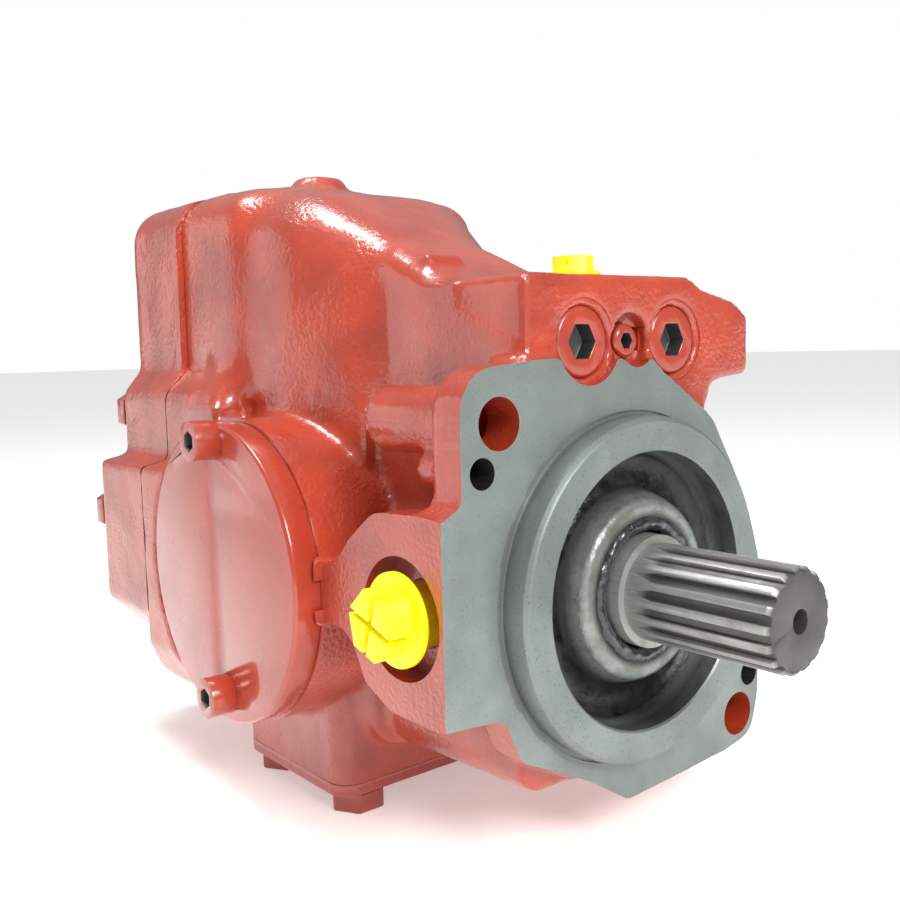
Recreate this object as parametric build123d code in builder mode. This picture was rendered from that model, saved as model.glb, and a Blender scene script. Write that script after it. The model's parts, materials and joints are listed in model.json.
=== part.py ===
"""Axial piston pump: variable swash plate, two-bolt flange, splined shaft.

Frame: origin at the pilot's centre on the mounting face, the shaft's nose towards -Y, +Z up.
Sizes are in millimetres.
"""

from build123d import *
import math
import os

# Driving dimensions: the standard flange, the shaft, and the three planes that stack the castings.
PILOT_R = 50.8
PILOT_NOSE_Y = -8.0
FLANGE_THICKNESS = 13.0
FLANGE_BOLT_CIRCLE_R = 73.0
FLANGE_HOLE_R = 7.15
TAPPED_HOLE_R = 4.25
TAPPED_HOLE_XZ = 57.8, -39.0
SHAFT_R = 14.2875
SHAFT_NOSE_Y = -55.6
SPLINE_TEETH = 17
SPLINE_ROOT_R = 12.75
SPLINE_END_Y = -18.0
SPLINE_RUN_OUT = 7.0
REAR_FLANGE_Y = 128.0
SPLIT_Y = 168.0
GASKET_THICKNESS = 0.5
REAR_Y = 212.0
SIDE_FACE_X = 72.0

# Rotating group
PISTONS = 9
PISTON_CIRCLE_R = 32.0
PISTON_R = 8.45
PISTON_BORE_R = 8.5
BALL_R = 5.0
SOCKET_R = 5.12
PIVOT_Y = 107.5
BARREL_R = 44.5
BARREL_FRONT_Y = 37.3
BARREL_REAR_Y = 90.0
SLIPPER_BASE = 9.0
SLIPPER_SHOULDER = 5.2
SLIPPER_FLANGE_R = 10.4
SLIPPER_NECK_R = 6.8
SLIPPER_MOUTH = -2.2
SWASH_FACE = 9.2
SWASH_BACK = 23.5
GUIDE_SPHERE_R = 19.0
RETAINER_R = 43.0
RETAINER_HOLE_R = 8.4

# Stroke control above the rotating group
CONTROL_Z = 72.5
ARM_ROLLER_R = 7.0
CONTROL_PISTON_R = 10.0
BIAS_PISTON_R = 13.0
SPOOL_R = 5.0
LOAD_SENSE_X = -17.0
PRESSURE_X = 22.4
GAUGE_X = 3.0
GAUGE_POCKET_R = 7.8
GAUGE_PLUG_X = 1.1
GAUGE_PLUG_R = 4.9
PLUG_R = 10.2
PLUG_FACE_Y = 3.0
BLOCK_FACE_Y = 2.0
SPOTFACE_R = 12.4

# Side covers, ports and the inlet flange
COVER_R = 49.5
COVER_THICKNESS = 9.0
COVER_SPIGOT_R = 34.5
COVER_SCREW_YZ = [(107.3, 44.0), (104.2, -39.6)]
TRUNNION_R = 13.0
TRUNNION_BEARING_R = 18.0
PORT_Y = 18.5
PORT_SPOT_R = 17.0
PORT_FLOOR_X = -63.5
TOP_PORT_XY = -5.0, 18.0
INLET_Y = 109.0
INLET_R = 16.0
INLET_SPAN_Y = 76.0, 142.0
INLET_PAD_Z = -71.0
INLET_FLANGE_Z = -75.0
INLET_BOLT_DX = 44.0
INLET_BOLT_DY = 24.0

RUNNING = 0.08
CHAMBER_R = 47.0
SWASH_CHAMBER_R = 52.5
GASKET_BORE_R = 51.0
REAR_BOLT_XZ = [(-71, 9), (71, 9), (-47, 116), (42, 116), (-60, 49), (60, 49), (-51, -40), (51, -40)]
DOWEL_XZ = [(-69, -15), (69, -15)]


def across(y):
    """The plane across the shaft at y: its x is +X and its y is +Z."""
    return Plane.XZ.offset(-y)


def along_y(radius, y_from, y_to, x=0.0, z=0.0, mode=Mode.ADD):
    """A cylinder along Y."""
    with Locations((x, (y_from + y_to) / 2, z)):
        Cylinder(radius, y_to - y_from, rotation=(90, 0, 0), mode=mode)


def along_x(radius, x_from, x_to, y=0.0, z=0.0, mode=Mode.ADD):
    """A cylinder along X."""
    with Locations(((x_from + x_to) / 2, y, z)):
        Cylinder(radius, x_to - x_from, rotation=(0, 90, 0), mode=mode)


def along_z(radius, z_from, z_to, x=0.0, y=0.0, mode=Mode.ADD):
    """A cylinder along Z."""
    with Locations((x, y, (z_from + z_to) / 2)):
        Cylinder(radius, z_to - z_from, mode=mode)


def block(x_range, y_range, z_range, mode=Mode.ADD):
    """A box between two corners."""
    spans = (x_range, y_range, z_range)
    with Locations(tuple(sum(span) / 2 for span in spans)):
        Box(*(span[1] - span[0] for span in spans), mode=mode)


def outline(plane, corners):
    """A face on a plane, from (u, v, radius) corners."""
    with BuildSketch(plane) as face:
        with BuildLine():
            FilletPolyline(*((u, v) for u, v, _ in corners), radius=[r for _, _, r in corners], close=True)
        make_face()
    return face.sketch


def disc(plane, radius, x=0.0, y=0.0):
    """A round face on a plane."""
    with BuildSketch(plane) as face:
        with Locations((x, y)):
            Circle(radius)
    return face.sketch


def hexagon(plane, corner_r, x=0.0, y=0.0, turn=0.0):
    """A six-sided face on a plane."""
    with BuildSketch(plane) as face:
        with Locations((x, y)):
            RegularPolygon(corner_r, 6, rotation=turn)
    return face.sketch


def plate_face(plane, x_range, y_range, radius):
    """A rectangle with rounded corners on a plane."""
    with BuildSketch(plane) as face:
        with Locations((sum(x_range) / 2, sum(y_range) / 2)):
            RectangleRounded(x_range[1] - x_range[0], y_range[1] - y_range[0], radius)
    return face.sketch


def revolved(points, mode=Mode.ADD):
    """A solid turned about Y from (radius, y) points."""
    with BuildSketch(Plane.XY) as profile:
        with BuildLine():
            Polyline(*points, close=True)
        make_face()
    revolve(profile.sketch, axis=Axis.Y, mode=mode)


def save(part, name):
    """Labels a finished piece and writes it."""
    part.label = name
    export_step(part, f"parts/{name}.step")


# ---------------------------------------------------------------- castings

FLANGE_CORNERS = [
    (-65, 31, 3), (-65, 66, 13), (-35, 68, 4), (9, 67, 5), (23.6, 57, 7), (38.5, 47.5, 8),
    (49, 31, 8), (57.5, 16, 8), (63, 0, 8), (63, -46, 6), (59, -60, 8), (45, -62.5, 5),
    (-3, -64.8, 3), (-17, -55.5, 8), (-46, -41.5, 6), (-52, -28, 4), (-72, -26.5, 1.5), (-72, 28, 2),
]

VALVE_BLOCK_CORNERS = [
    (-40, 50, 2), (-40, 91.5, 3), (30, 91.5, 3), (36, 88, 3), (52, 84.5, 5), (60, 80, 3),
    (60, 61, 3), (41, 59, 4), (38, 50, 2),
]

# Sections across the body, as (y, corners): a flat-sided neck, then a bulge that steps out from it.
NECK_SECTIONS = [
    (6, [(-41, -56, 10), (47, -57, 20), (47, 40, 20), (20, 76, 16), (-41, 76, 5)]),
    (72, [(-41, -60, 14), (50, -60, 28), (50, 66, 24), (0, 109, 22), (-41, 109, 10)]),
]
BULGE_SECTIONS = [
    (70, [(-46.5, -60, 14), (50, -60, 28), (50, 65, 24), (0, 108.5, 22), (-38, 108.5, 9), (-43.5, 92, 6),
          (-46.5, 66, 6)]),
    (105, [(-55, -61, 14), (54, -61, 28), (54, 84, 22), (20, 126.5, 22), (-44, 126.5, 13), (-54, 112, 8),
           (-55, 90, 6)]),
    (REAR_FLANGE_Y + 4, [(-55, -61, 14), (54, -61, 28), (54, 100, 20), (36, 131, 16), (-44, 131, 12),
                         (-55, 116, 8), (-56.5, 90, 6)]),
]

PORT_PAD_CORNERS = [
    (0, -27, 1), (0, 28, 1), (10, 28.8, 4), (30, 27.5, 9), (42, 18.5, 6), (50, 10.5, 4),
    (57.5, 9.5, 1), (57.5, -8, 1), (47, -8, 3), (41.5, -11.5, 3), (36, -21.5, 6), (24, -27, 6),
]

# The rear flange's outline below the tall block is the same on both sides.
LEFT_STEPS = [(-59.5, 66, 5), (-69.5, 57, 6), (-69.5, 32.5, 1.5), (-80.5, 30.5, 2)]
HOUSING_FOOT = [(-80.5, -36, 6), (-75, -48, 6), (-62, -56, 8), (-30, -61, 6)]
COVER_FOOT = [(-80.5, -25, 5), (-67, -38, 6), (-46, -56, 8)]


COVER_SKIRT = [(-76, 0, 4), (-76, -36, 6), (-71, -46, 6), (-60, -53, 8), (60, -53, 8), (71, -46, 6),
               (76, -36, 6), (76, 0, 4)]
COVER_SKIRT_DEPTH = 11.0


def mirrored(corners):
    """The same corners on the other side, in the order that closes the outline."""
    return [(-u, v, r) for u, v, r in reversed(corners)]


def rear_outline(foot, left_x, right_x, top_z):
    """The outline of the rear flange, from its top left corner round and back."""
    steps = [(left_x, LEFT_STEPS[0][1], LEFT_STEPS[0][2])] + LEFT_STEPS[1:]
    right = mirrored(LEFT_STEPS[1:]) + [(right_x, LEFT_STEPS[0][1], LEFT_STEPS[0][2])]
    return [(left_x, top_z, 15), *steps, *foot, *mirrored(foot), *right, (right_x, top_z, 15)]


def flange_lump():
    """The two-bolt flange plate, with the pilot standing out of it."""
    extrude(outline(across(0), FLANGE_CORNERS), amount=-FLANGE_THICKNESS)
    chamfer_size = 1.5
    revolved([
        (0, 6), (PILOT_R, 6), (PILOT_R, PILOT_NOSE_Y + chamfer_size),
        (PILOT_R - chamfer_size, PILOT_NOSE_Y), (0, PILOT_NOSE_Y),
    ])


def body_lump():
    """The bulging body behind the flange, rising to the tall rear flange."""
    neck = [outline(across(y), corners) for y, corners in NECK_SECTIONS]
    bulge = [outline(across(y), corners) for y, corners in BULGE_SECTIONS]
    loft(neck, ruled=True)
    for pair in zip(bulge, bulge[1:]):
        loft(pair, ruled=True)


def valve_block_lump():
    """The block on top of the flange that holds the two control spools."""
    extrude(outline(across(BLOCK_FACE_Y), VALVE_BLOCK_CORNERS), amount=-38)
    block((-41, 0), (30, 71), (44, 90.5))
    rib = outline(Plane.YZ.offset(-37), [(44, 88, 1), (48, 101, 1.5), (75, 88, 1)])
    extrude(rib, amount=14)


def port_pad_lump():
    """The milled pad for the outlet port on the left side."""
    extrude(outline(Plane.YZ.offset(-SIDE_FACE_X), PORT_PAD_CORNERS), amount=34)


def rear_flange_lump():
    """The tall flange that the rear cover bolts to, with its low blocks set back round the side covers."""
    extrude(outline(across(REAR_FLANGE_Y), rear_outline(HOUSING_FOOT, -59.5, 54, 131)), amount=-40)
    for side in (-1, 1):
        along_x(COVER_R + 1.2, *sorted((side * SIDE_FACE_X, side * 90)), PIVOT_Y, mode=Mode.SUBTRACT)


def side_boss_lumps():
    """The round bosses that the side covers close."""
    along_x(COVER_R + 1.0, -SIDE_FACE_X, SIDE_FACE_X, PIVOT_Y)


def top_details():
    """The bleed boss and the lifting rib on the shoulder."""
    along_z(10.5, 120, 132.5, -20, 134)
    along_z(8.5, 120, 135, -20, 134)
    start, end = Vector(-49, 113, 113), Vector(-27, 122, 127)
    extrude(disc(Plane(origin=start, z_dir=end - start), 6.5), amount=(end - start).length)
    for point in (start, end):
        with Locations(point):
            Sphere(6.5)


def inlet_pad_lump():
    """The flat pad under the body that the inlet flange bolts to."""
    extrude(plate_face(Plane.XY.offset(INLET_PAD_Z), (-56, 56), INLET_SPAN_Y, 8), amount=30)


def pilot_recess():
    """The cast recess inside the pilot, round the raised seal hub."""
    with BuildSketch(Plane.XY) as profile:
        with BuildLine():
            Polyline((0, -5.5), (0, -9), (40.8, -9), (40.8, -3))
            ThreePointArc((40.8, -3), (35, 5.5), (28.5, 0))
            Line((28.5, 0), (27, -3.6))
            ThreePointArc((27, -3.6), (25.8, -5.1), (24, -5.5))
            Line((24, -5.5), (0, -5.5))
        make_face()
    revolve(profile.sketch, axis=Axis.Y, mode=Mode.SUBTRACT)
    revolved([(PILOT_R, -1), (PILOT_R + 1.6, -1), (PILOT_R + 1.6, 0.9), (PILOT_R, 0.9)], mode=Mode.SUBTRACT)


def front_bores():
    """Seal bore, bearing bore and the floor that carries the valve plate."""
    along_y(20.0, -6, 10, mode=Mode.SUBTRACT)
    along_y(23.5, 9, 40, mode=Mode.SUBTRACT)
    along_y(CHAMBER_R, 34, 100, mode=Mode.SUBTRACT)
    along_y(SWASH_CHAMBER_R, 92, SPLIT_Y + 1, mode=Mode.SUBTRACT)


def kidney(plane, mid_angle):
    """A curved slot on the piston circle."""
    with BuildSketch(plane) as face:
        with BuildLine(mode=Mode.PRIVATE) as path:
            CenterArc((0, 0), PISTON_CIRCLE_R, mid_angle - 55, 110)
        SlotArc(arc=path.wires()[0], height=8)
    return face.sketch


def port_passages():
    """Kidney passages from the valve plate to the outlet port, and from the chamber on the inlet side."""
    for angle in (0, 180):
        extrude(kidney(across(12), angle), amount=-24, mode=Mode.SUBTRACT)
    block((33, 46.5), (24, 36), (-14, 14), mode=Mode.SUBTRACT)
    along_x(PORT_SPOT_R, -80, PORT_FLOOR_X, PORT_Y, mode=Mode.SUBTRACT)
    along_x(9.6, -70, -32, PORT_Y, mode=Mode.SUBTRACT)
    along_z(6.0, 84, 95, *TOP_PORT_XY, mode=Mode.SUBTRACT)


def flange_holes():
    """Two clearance holes and two tapped holes on the flange's diagonal."""
    reach = FLANGE_BOLT_CIRCLE_R / math.sqrt(2)
    for side in (-1, 1):
        along_y(FLANGE_HOLE_R, -1, FLANGE_THICKNESS + 0.5, side * reach, -side * reach, mode=Mode.SUBTRACT)
        along_y(9.5, FLANGE_THICKNESS, 46, side * reach, -side * reach, mode=Mode.SUBTRACT)
        along_y(TAPPED_HOLE_R, -1, 20, side * TAPPED_HOLE_XZ[0], side * TAPPED_HOLE_XZ[1], mode=Mode.SUBTRACT)


def control_bores():
    """Spool bores behind their flush plugs, the control and bias piston bores, and the arm's well."""
    for x in (LOAD_SENSE_X, PRESSURE_X):
        along_y(SPOTFACE_R, -1, BLOCK_FACE_Y + 0.6, x, CONTROL_Z, mode=Mode.SUBTRACT)
        along_y(PLUG_R + 0.05, 0, 17, x, CONTROL_Z, mode=Mode.SUBTRACT)
        along_y(SPOOL_R + RUNNING, 10, 56, x, CONTROL_Z, mode=Mode.SUBTRACT)
    along_y(GAUGE_POCKET_R, -1, 6, GAUGE_X, CONTROL_Z, mode=Mode.SUBTRACT)
    along_y(GAUGE_PLUG_R + 0.1, 5, 15, GAUGE_PLUG_X, CONTROL_Z, mode=Mode.SUBTRACT)
    block((GAUGE_X + 3.4, GAUGE_X + 7), (-1, 12), (CONTROL_Z - 3, CONTROL_Z + 4), mode=Mode.SUBTRACT)
    along_y(CONTROL_PISTON_R + RUNNING, 36, 80, 0, CONTROL_Z, mode=Mode.SUBTRACT)
    along_y(BIAS_PISTON_R + RUNNING, 120, SPLIT_Y + 1, 0, CONTROL_Z, mode=Mode.SUBTRACT)
    block((-16, 16), (78, 128), (40, 87), mode=Mode.SUBTRACT)
    block((-16, 16), (78, 135), (40, 60), mode=Mode.SUBTRACT)


def side_and_inlet_bores():
    """The openings that the side covers and the inlet flange close."""
    along_x(COVER_SPIGOT_R + 0.1, -90, 90, PIVOT_Y, mode=Mode.SUBTRACT)
    along_z(INLET_R, -80, -40, 0, INLET_Y, mode=Mode.SUBTRACT)
    along_z(4.55, 126, 140, -20, 134, mode=Mode.SUBTRACT)


def tapped_holes():
    """Blind holes for the side cover, inlet flange and rear cover fasteners."""
    for side in (-1, 1):
        for y, z in COVER_SCREW_YZ:
            along_x(4.05, *sorted((side * 56, side * 74)), y, z, mode=Mode.SUBTRACT)
    for x, y in inlet_bolt_places():
        along_z(5.05, -72, -58, x, y, mode=Mode.SUBTRACT)
    for x, z in REAR_BOLT_XZ:
        along_y(5.05, SPLIT_Y - 10, SPLIT_Y + 1, x, z, mode=Mode.SUBTRACT)
    for x, z in DOWEL_XZ:
        along_y(4.0, SPLIT_Y - 8, SPLIT_Y + 1, x, z, mode=Mode.SUBTRACT)


def inlet_bolt_places():
    """The (x, y) places of the inlet flange's four bolts."""
    return [(dx * INLET_BOLT_DX, INLET_Y + dy * INLET_BOLT_DY) for dx in (-1, 1) for dy in (-1, 1)]


def housing():
    """The front casting: flange, valve block, port pad, body and rear flange in one."""
    with BuildPart() as casting:
        flange_lump()
        body_lump()
        valve_block_lump()
        port_pad_lump()
        side_boss_lumps()
        rear_flange_lump()
        top_details()
        inlet_pad_lump()
        pilot_recess()
        front_bores()
        port_passages()
        flange_holes()
        control_bores()
        side_and_inlet_bores()
        tapped_holes()
    return casting.part


def rear_cover():
    """The rear casting, with the rear bearing's pocket and the bias spring's seat."""
    with BuildPart() as casting:
        front_y = SPLIT_Y + GASKET_THICKNESS
        extrude(outline(across(front_y), rear_outline(COVER_FOOT, -62, 56, 130.5)), amount=front_y - REAR_Y)
        extrude(outline(across(front_y), COVER_SKIRT), amount=-COVER_SKIRT_DEPTH)
        fillet(casting.faces().sort_by(Axis.Y)[-1].edges(), 5)
        along_y(46, SPLIT_Y - 1, 186, mode=Mode.SUBTRACT)
        along_y(26.0, 180, 204, mode=Mode.SUBTRACT)
        along_y(12, SPLIT_Y - 1, 205, 0, CONTROL_Z, mode=Mode.SUBTRACT)
        for x, z in REAR_BOLT_XZ:
            along_y(5.5, SPLIT_Y - 1, REAR_Y + 1, x, z, mode=Mode.SUBTRACT)
        for x, z in DOWEL_XZ:
            along_y(4.0, SPLIT_Y - 1, SPLIT_Y + 8, x, z, mode=Mode.SUBTRACT)
    return casting.part


def side_cover(side):
    """A round cover with the spigot that carries a trunnion bearing."""
    outer = side * (SIDE_FACE_X + COVER_THICKNESS)
    with BuildPart() as cover:
        along_x(COVER_R, *sorted((side * SIDE_FACE_X, outer)), PIVOT_Y)
        rim = cover.faces().sort_by(Axis.X)[0 if side < 0 else -1].edges()
        chamfer(rim, 0.8)
        along_x(COVER_SPIGOT_R, *sorted((side * 54.5, side * SIDE_FACE_X)), PIVOT_Y)
        along_x(TRUNNION_BEARING_R + 0.05, *sorted((side * 54, side * 70)), PIVOT_Y, mode=Mode.SUBTRACT)
        for y, z in COVER_SCREW_YZ:
            along_x(4.5, *sorted((side * 60, outer + side)), y, z, mode=Mode.SUBTRACT)
        along_x(COVER_SPIGOT_R + 1, *sorted((side * 66.4, side * 69.6)), PIVOT_Y, mode=Mode.SUBTRACT)
        along_x(COVER_SPIGOT_R - 2.4, *sorted((side * 66.4, side * 69.6)), PIVOT_Y)
        along_x(TRUNNION_BEARING_R + 0.05, *sorted((side * 54, side * 70)), PIVOT_Y, mode=Mode.SUBTRACT)
    return cover.part


def inlet_flange():
    """The plate under the body, with the open inlet port."""
    with BuildPart() as plate:
        outer = plate_face(Plane.XY.offset(INLET_FLANGE_Z), (-56, 56), INLET_SPAN_Y, 8)
        extrude(outer, amount=INLET_PAD_Z - INLET_FLANGE_Z)
        along_z(INLET_R, INLET_FLANGE_Z - 1, INLET_PAD_Z + 1, 0, INLET_Y, mode=Mode.SUBTRACT)
        for x, y in inlet_bolt_places():
            along_z(5.5, INLET_FLANGE_Z - 1, INLET_PAD_Z + 1, x, y, mode=Mode.SUBTRACT)
    return plate.part


# ---------------------------------------------------------------- fasteners, plugs and seals


def socket_screw(face, outward, shank):
    """A socket-head cap screw whose head stands on the face at the origin of its plane."""
    plane = Plane(origin=face, z_dir=outward)
    extrude(disc(plane, 6.5), amount=8)
    extrude(hexagon(plane.offset(8), 3.46), amount=-4.5, mode=Mode.SUBTRACT)
    extrude(disc(plane, 4.0), amount=-shank)


def hex_bolt(face, outward, shank):
    """A hexagon-head bolt standing on a face."""
    plane = Plane(origin=face, z_dir=outward)
    extrude(hexagon(plane, 9.81), amount=7)
    extrude(disc(plane, 5.0), amount=-shank)


def side_cover_screws(side):
    """The two screws that hold a side cover."""
    with BuildPart() as screws:
        for y, z in COVER_SCREW_YZ:
            socket_screw((side * (SIDE_FACE_X + COVER_THICKNESS), y, z), (side, 0, 0), 24)
    return screws.part


def rear_cover_bolts():
    """The bolts that hold the rear cover."""
    with BuildPart() as bolts:
        for x, z in REAR_BOLT_XZ:
            hex_bolt((x, REAR_Y, z), (0, 1, 0), REAR_Y - SPLIT_Y + 9)
    return bolts.part


def rear_dowels():
    """The two dowels that locate the rear cover."""
    with BuildPart() as pins:
        for x, z in DOWEL_XZ:
            along_y(3.95, SPLIT_Y - 7, SPLIT_Y + 7, x, z)
    return pins.part


def inlet_flange_bolts():
    """The four bolts under the inlet flange."""
    with BuildPart() as bolts:
        for x, y in inlet_bolt_places():
            hex_bolt((x, y, INLET_FLANGE_Z), (0, 0, -1), 14)
    return bolts.part


def socket_plug(radius, face_y, depth, x, socket_r):
    """A flush plug in a face across Y, with a hexagon socket and a chamfered rim."""
    with BuildPart() as plug:
        revolved([
            (0, face_y), (radius - 0.8, face_y), (radius, face_y + 0.8), (radius, face_y + depth),
            (0, face_y + depth),
        ])
        extrude(hexagon(across(face_y), socket_r), amount=-5.5, mode=Mode.SUBTRACT)
    return plug.part.moved(Location((x, 0, CONTROL_Z)))


def bleed_plug():
    """The small screw plug in the top boss."""
    with BuildPart() as plug:
        along_z(4.5, 127, 135.6, -20, 134)
        extrude(hexagon(Plane.XY.offset(135.6), 2.6, -20, 134), amount=-4, mode=Mode.SUBTRACT)
    return plug.part


def side_port_cap():
    """The moulded shipping plug in the outlet port: a stem, a disc and a slotted hexagon head."""
    disc_x, end_x = -73.9, -82.2
    with BuildPart() as cap:
        along_x(9.3, -72.5, -50, PORT_Y)
        along_x(6.8, -51, -42, PORT_Y, mode=Mode.ADD)
        along_x(13.0, disc_x, -72.3, PORT_Y)
        extrude(hexagon(Plane.YZ.offset(disc_x), 9.8, PORT_Y, 0, 18), amount=end_x - disc_x)
        for angle in (18, 108):
            with BuildSketch(Plane.YZ.offset(end_x)) as slot:
                with Locations((PORT_Y, 0)):
                    Rectangle(30, 1.7, rotation=angle)
            extrude(slot.sketch, amount=6.2, mode=Mode.SUBTRACT)
    return cap.part


def top_port_cap():
    """The smaller shipping plug in the top port."""
    with BuildPart() as cap:
        along_z(5.8, 85, 91.6, *TOP_PORT_XY)
        along_z(8.0, 91.6, 93.2, *TOP_PORT_XY)
        extrude(hexagon(Plane.XY.offset(93.2), 6.2, *TOP_PORT_XY, 25), amount=4.6)
        with BuildSketch(Plane.XY.offset(98)) as slot:
            with Locations(TOP_PORT_XY):
                Rectangle(16, 1.3, rotation=25)
        extrude(slot.sketch, amount=-3.2, mode=Mode.SUBTRACT)
    return cap.part


def turned(points):
    """A ring or disc turned about Y."""
    with BuildPart() as piece:
        revolved(points)
    return piece.part


def seal_case():
    """The pressed steel case of the shaft seal."""
    return turned([(18.4, -3.2), (19.95, -3.2), (19.95, 7.5), (17.4, 7.5), (17.4, 6.3), (18.4, 6.3)])


def seal_lip():
    """The rubber lip that rides on the shaft, with its dust lip."""
    return turned([
        (18.35, -2.8), (18.35, 6.2), (17.3, 6.2), (17.3, 2.2), (16.75, 1.0), (17.4, -0.6), (16.7, -2.8),
    ])


def side_cover_seals():
    """The O-rings on the side covers' spigots."""
    with BuildPart() as rings:
        for side in (-1, 1):
            cord = disc(Plane.XY, 1.15, side * 68.0, PIVOT_Y + COVER_SPIGOT_R - 1.2)
            revolve(cord, axis=Axis((0, PIVOT_Y, 0), (1, 0, 0)))
    return rings.part


def rear_gasket():
    """The flat gasket between the housing and the rear cover."""
    with BuildPart() as sheet:
        extrude(outline(across(SPLIT_Y), rear_outline(COVER_FOOT, -59, 53.5, 130)), amount=-GASKET_THICKNESS)
        along_y(GASKET_BORE_R, SPLIT_Y - 1, SPLIT_Y + 2, mode=Mode.SUBTRACT)
        along_y(BIAS_PISTON_R + 1, SPLIT_Y - 1, SPLIT_Y + 2, 0, CONTROL_Z, mode=Mode.SUBTRACT)
        for x, z in REAR_BOLT_XZ:
            along_y(5.5, SPLIT_Y - 1, SPLIT_Y + 2, x, z, mode=Mode.SUBTRACT)
        for x, z in DOWEL_XZ:
            along_y(4.1, SPLIT_Y - 1, SPLIT_Y + 2, x, z, mode=Mode.SUBTRACT)
    return sheet.part


# ---------------------------------------------------------------- bearings


def bearing_race(inner_r, outer_r, y_from, y_to, track_r):
    """A race with a roller track turned into one of its two walls."""
    low, high = (track_r - 0.6, outer_r) if track_r == outer_r else (inner_r, track_r + 0.6)
    with BuildPart() as race:
        revolved([(inner_r, y_from), (outer_r, y_from), (outer_r, y_to), (inner_r, y_to)])
        revolved([(low, y_from + 2), (high, y_from + 2), (high, y_to - 2), (low, y_to - 2)], mode=Mode.SUBTRACT)
    return race.part


def rollers(count, circle_r, radius, y_from, y_to):
    """A ring of rollers along Y."""
    with BuildPart() as ring:
        with BuildSketch(across(y_from)):
            with PolarLocations(circle_r, count):
                Circle(radius)
        extrude(amount=-(y_to - y_from))
    return ring.part


def trunnion_bearings():
    """The two needle sleeves in the side covers."""
    with BuildPart() as sleeves:
        for side in (-1, 1):
            span = sorted((side * 55.5, side * 69.5))
            along_x(TRUNNION_BEARING_R, *span, PIVOT_Y)
            along_x(TRUNNION_R + RUNNING, *span, PIVOT_Y, mode=Mode.SUBTRACT)
    return sleeves.part


# ---------------------------------------------------------------- rotating group


def spline_gap(y, root_r, half_root):
    """The section of one spline gap at y: half_root is half its floor's width in degrees."""
    low, high = math.radians(half_root), math.radians(half_root + 2)
    corners = [(root_r, -low), (15.5, -high), (15.5, high), (root_r, low)]
    return outline(across(y), [(r * math.cos(a), r * math.sin(a), 0) for r, a in corners])


def shaft():
    """The drive shaft, with the involute-pitch spline at its nose."""
    with BuildPart() as bar:
        revolved([
            (0, SHAFT_NOSE_Y), (SHAFT_R - 1.2, SHAFT_NOSE_Y), (SHAFT_R, SHAFT_NOSE_Y + 1.2), (SHAFT_R, -9),
            (16.5, -9), (16.5, 9.5), (17.5, 9.5), (17.5, 31), (18.6, 31), (18.6, 34), (15.0, 34), (15.0, 78),
            (14.0, 78), (14.0, 126), (12.5, 126), (12.5, 204), (0, 204),
        ])
        gap = spline_gap(SHAFT_NOSE_Y - 1, SPLINE_ROOT_R, 5.2)
        full_depth = extrude(gap, amount=SHAFT_NOSE_Y - 1 - SPLINE_END_Y, mode=Mode.PRIVATE)
        tip = spline_gap(SPLINE_END_Y + SPLINE_RUN_OUT, SHAFT_R - 0.1, 0.4)
        run_out = loft([spline_gap(SPLINE_END_Y, SPLINE_ROOT_R, 5.2), tip], mode=Mode.PRIVATE)
        for tooth in range(SPLINE_TEETH):
            turn = tooth * 360 / SPLINE_TEETH
            add(full_depth.rotate(Axis.Y, turn), mode=Mode.SUBTRACT)
            add(run_out.rotate(Axis.Y, turn), mode=Mode.SUBTRACT)
        along_y(3.35, SHAFT_NOSE_Y - 1, SHAFT_NOSE_Y + 9, mode=Mode.SUBTRACT)
    return bar.part


def barrel():
    """The cylinder barrel with its nine bores and the spring's pocket."""
    with BuildPart() as drum:
        revolved([
            (15.1, BARREL_FRONT_Y), (BARREL_R, BARREL_FRONT_Y), (BARREL_R, BARREL_REAR_Y),
            (19.6, BARREL_REAR_Y), (19.6, 58), (15.1, 58),
        ])
        for x, z in piston_places():
            along_y(PISTON_BORE_R, 44, BARREL_REAR_Y + 1, x, z, mode=Mode.SUBTRACT)
            along_y(4.2, BARREL_FRONT_Y - 1, 45, x, z, mode=Mode.SUBTRACT)
    return drum.part


def piston_places():
    """The (x, z) places of the bores, the first at the top."""
    turns = [2 * math.pi * i / PISTONS for i in range(PISTONS)]
    return [(PISTON_CIRCLE_R * math.sin(turn), PISTON_CIRCLE_R * math.cos(turn)) for turn in turns]


def piston():
    """A piston about its own axis: a hollow skirt, a neck and the ball."""
    with BuildPart() as plunger:
        revolved([
            (4.6, 55), (PISTON_R, 55), (PISTON_R, 97), (3.5, 101), (3.5, PIVOT_Y - 3), (0, PIVOT_Y - 3),
            (0, 86), (4.6, 82),
        ])
        with Locations((0, PIVOT_Y, 0)):
            Sphere(BALL_R)
    return plunger.part


def slipper():
    """A slipper about the piston's axis, with the socket round the ball."""
    with BuildPart() as shoe:
        revolved([
            (0, PIVOT_Y + SLIPPER_MOUTH), (SLIPPER_NECK_R, PIVOT_Y + SLIPPER_MOUTH),
            (SLIPPER_NECK_R, PIVOT_Y + SLIPPER_SHOULDER), (SLIPPER_FLANGE_R, PIVOT_Y + SLIPPER_SHOULDER),
            (SLIPPER_FLANGE_R, PIVOT_Y + SLIPPER_BASE), (0, PIVOT_Y + SLIPPER_BASE),
        ])
        with Locations((0, PIVOT_Y, 0)):
            Sphere(SOCKET_R, mode=Mode.SUBTRACT)
        along_y(6.5, PIVOT_Y + SLIPPER_BASE - 0.6, PIVOT_Y + SLIPPER_BASE + 1, mode=Mode.SUBTRACT)
    return shoe.part


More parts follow.
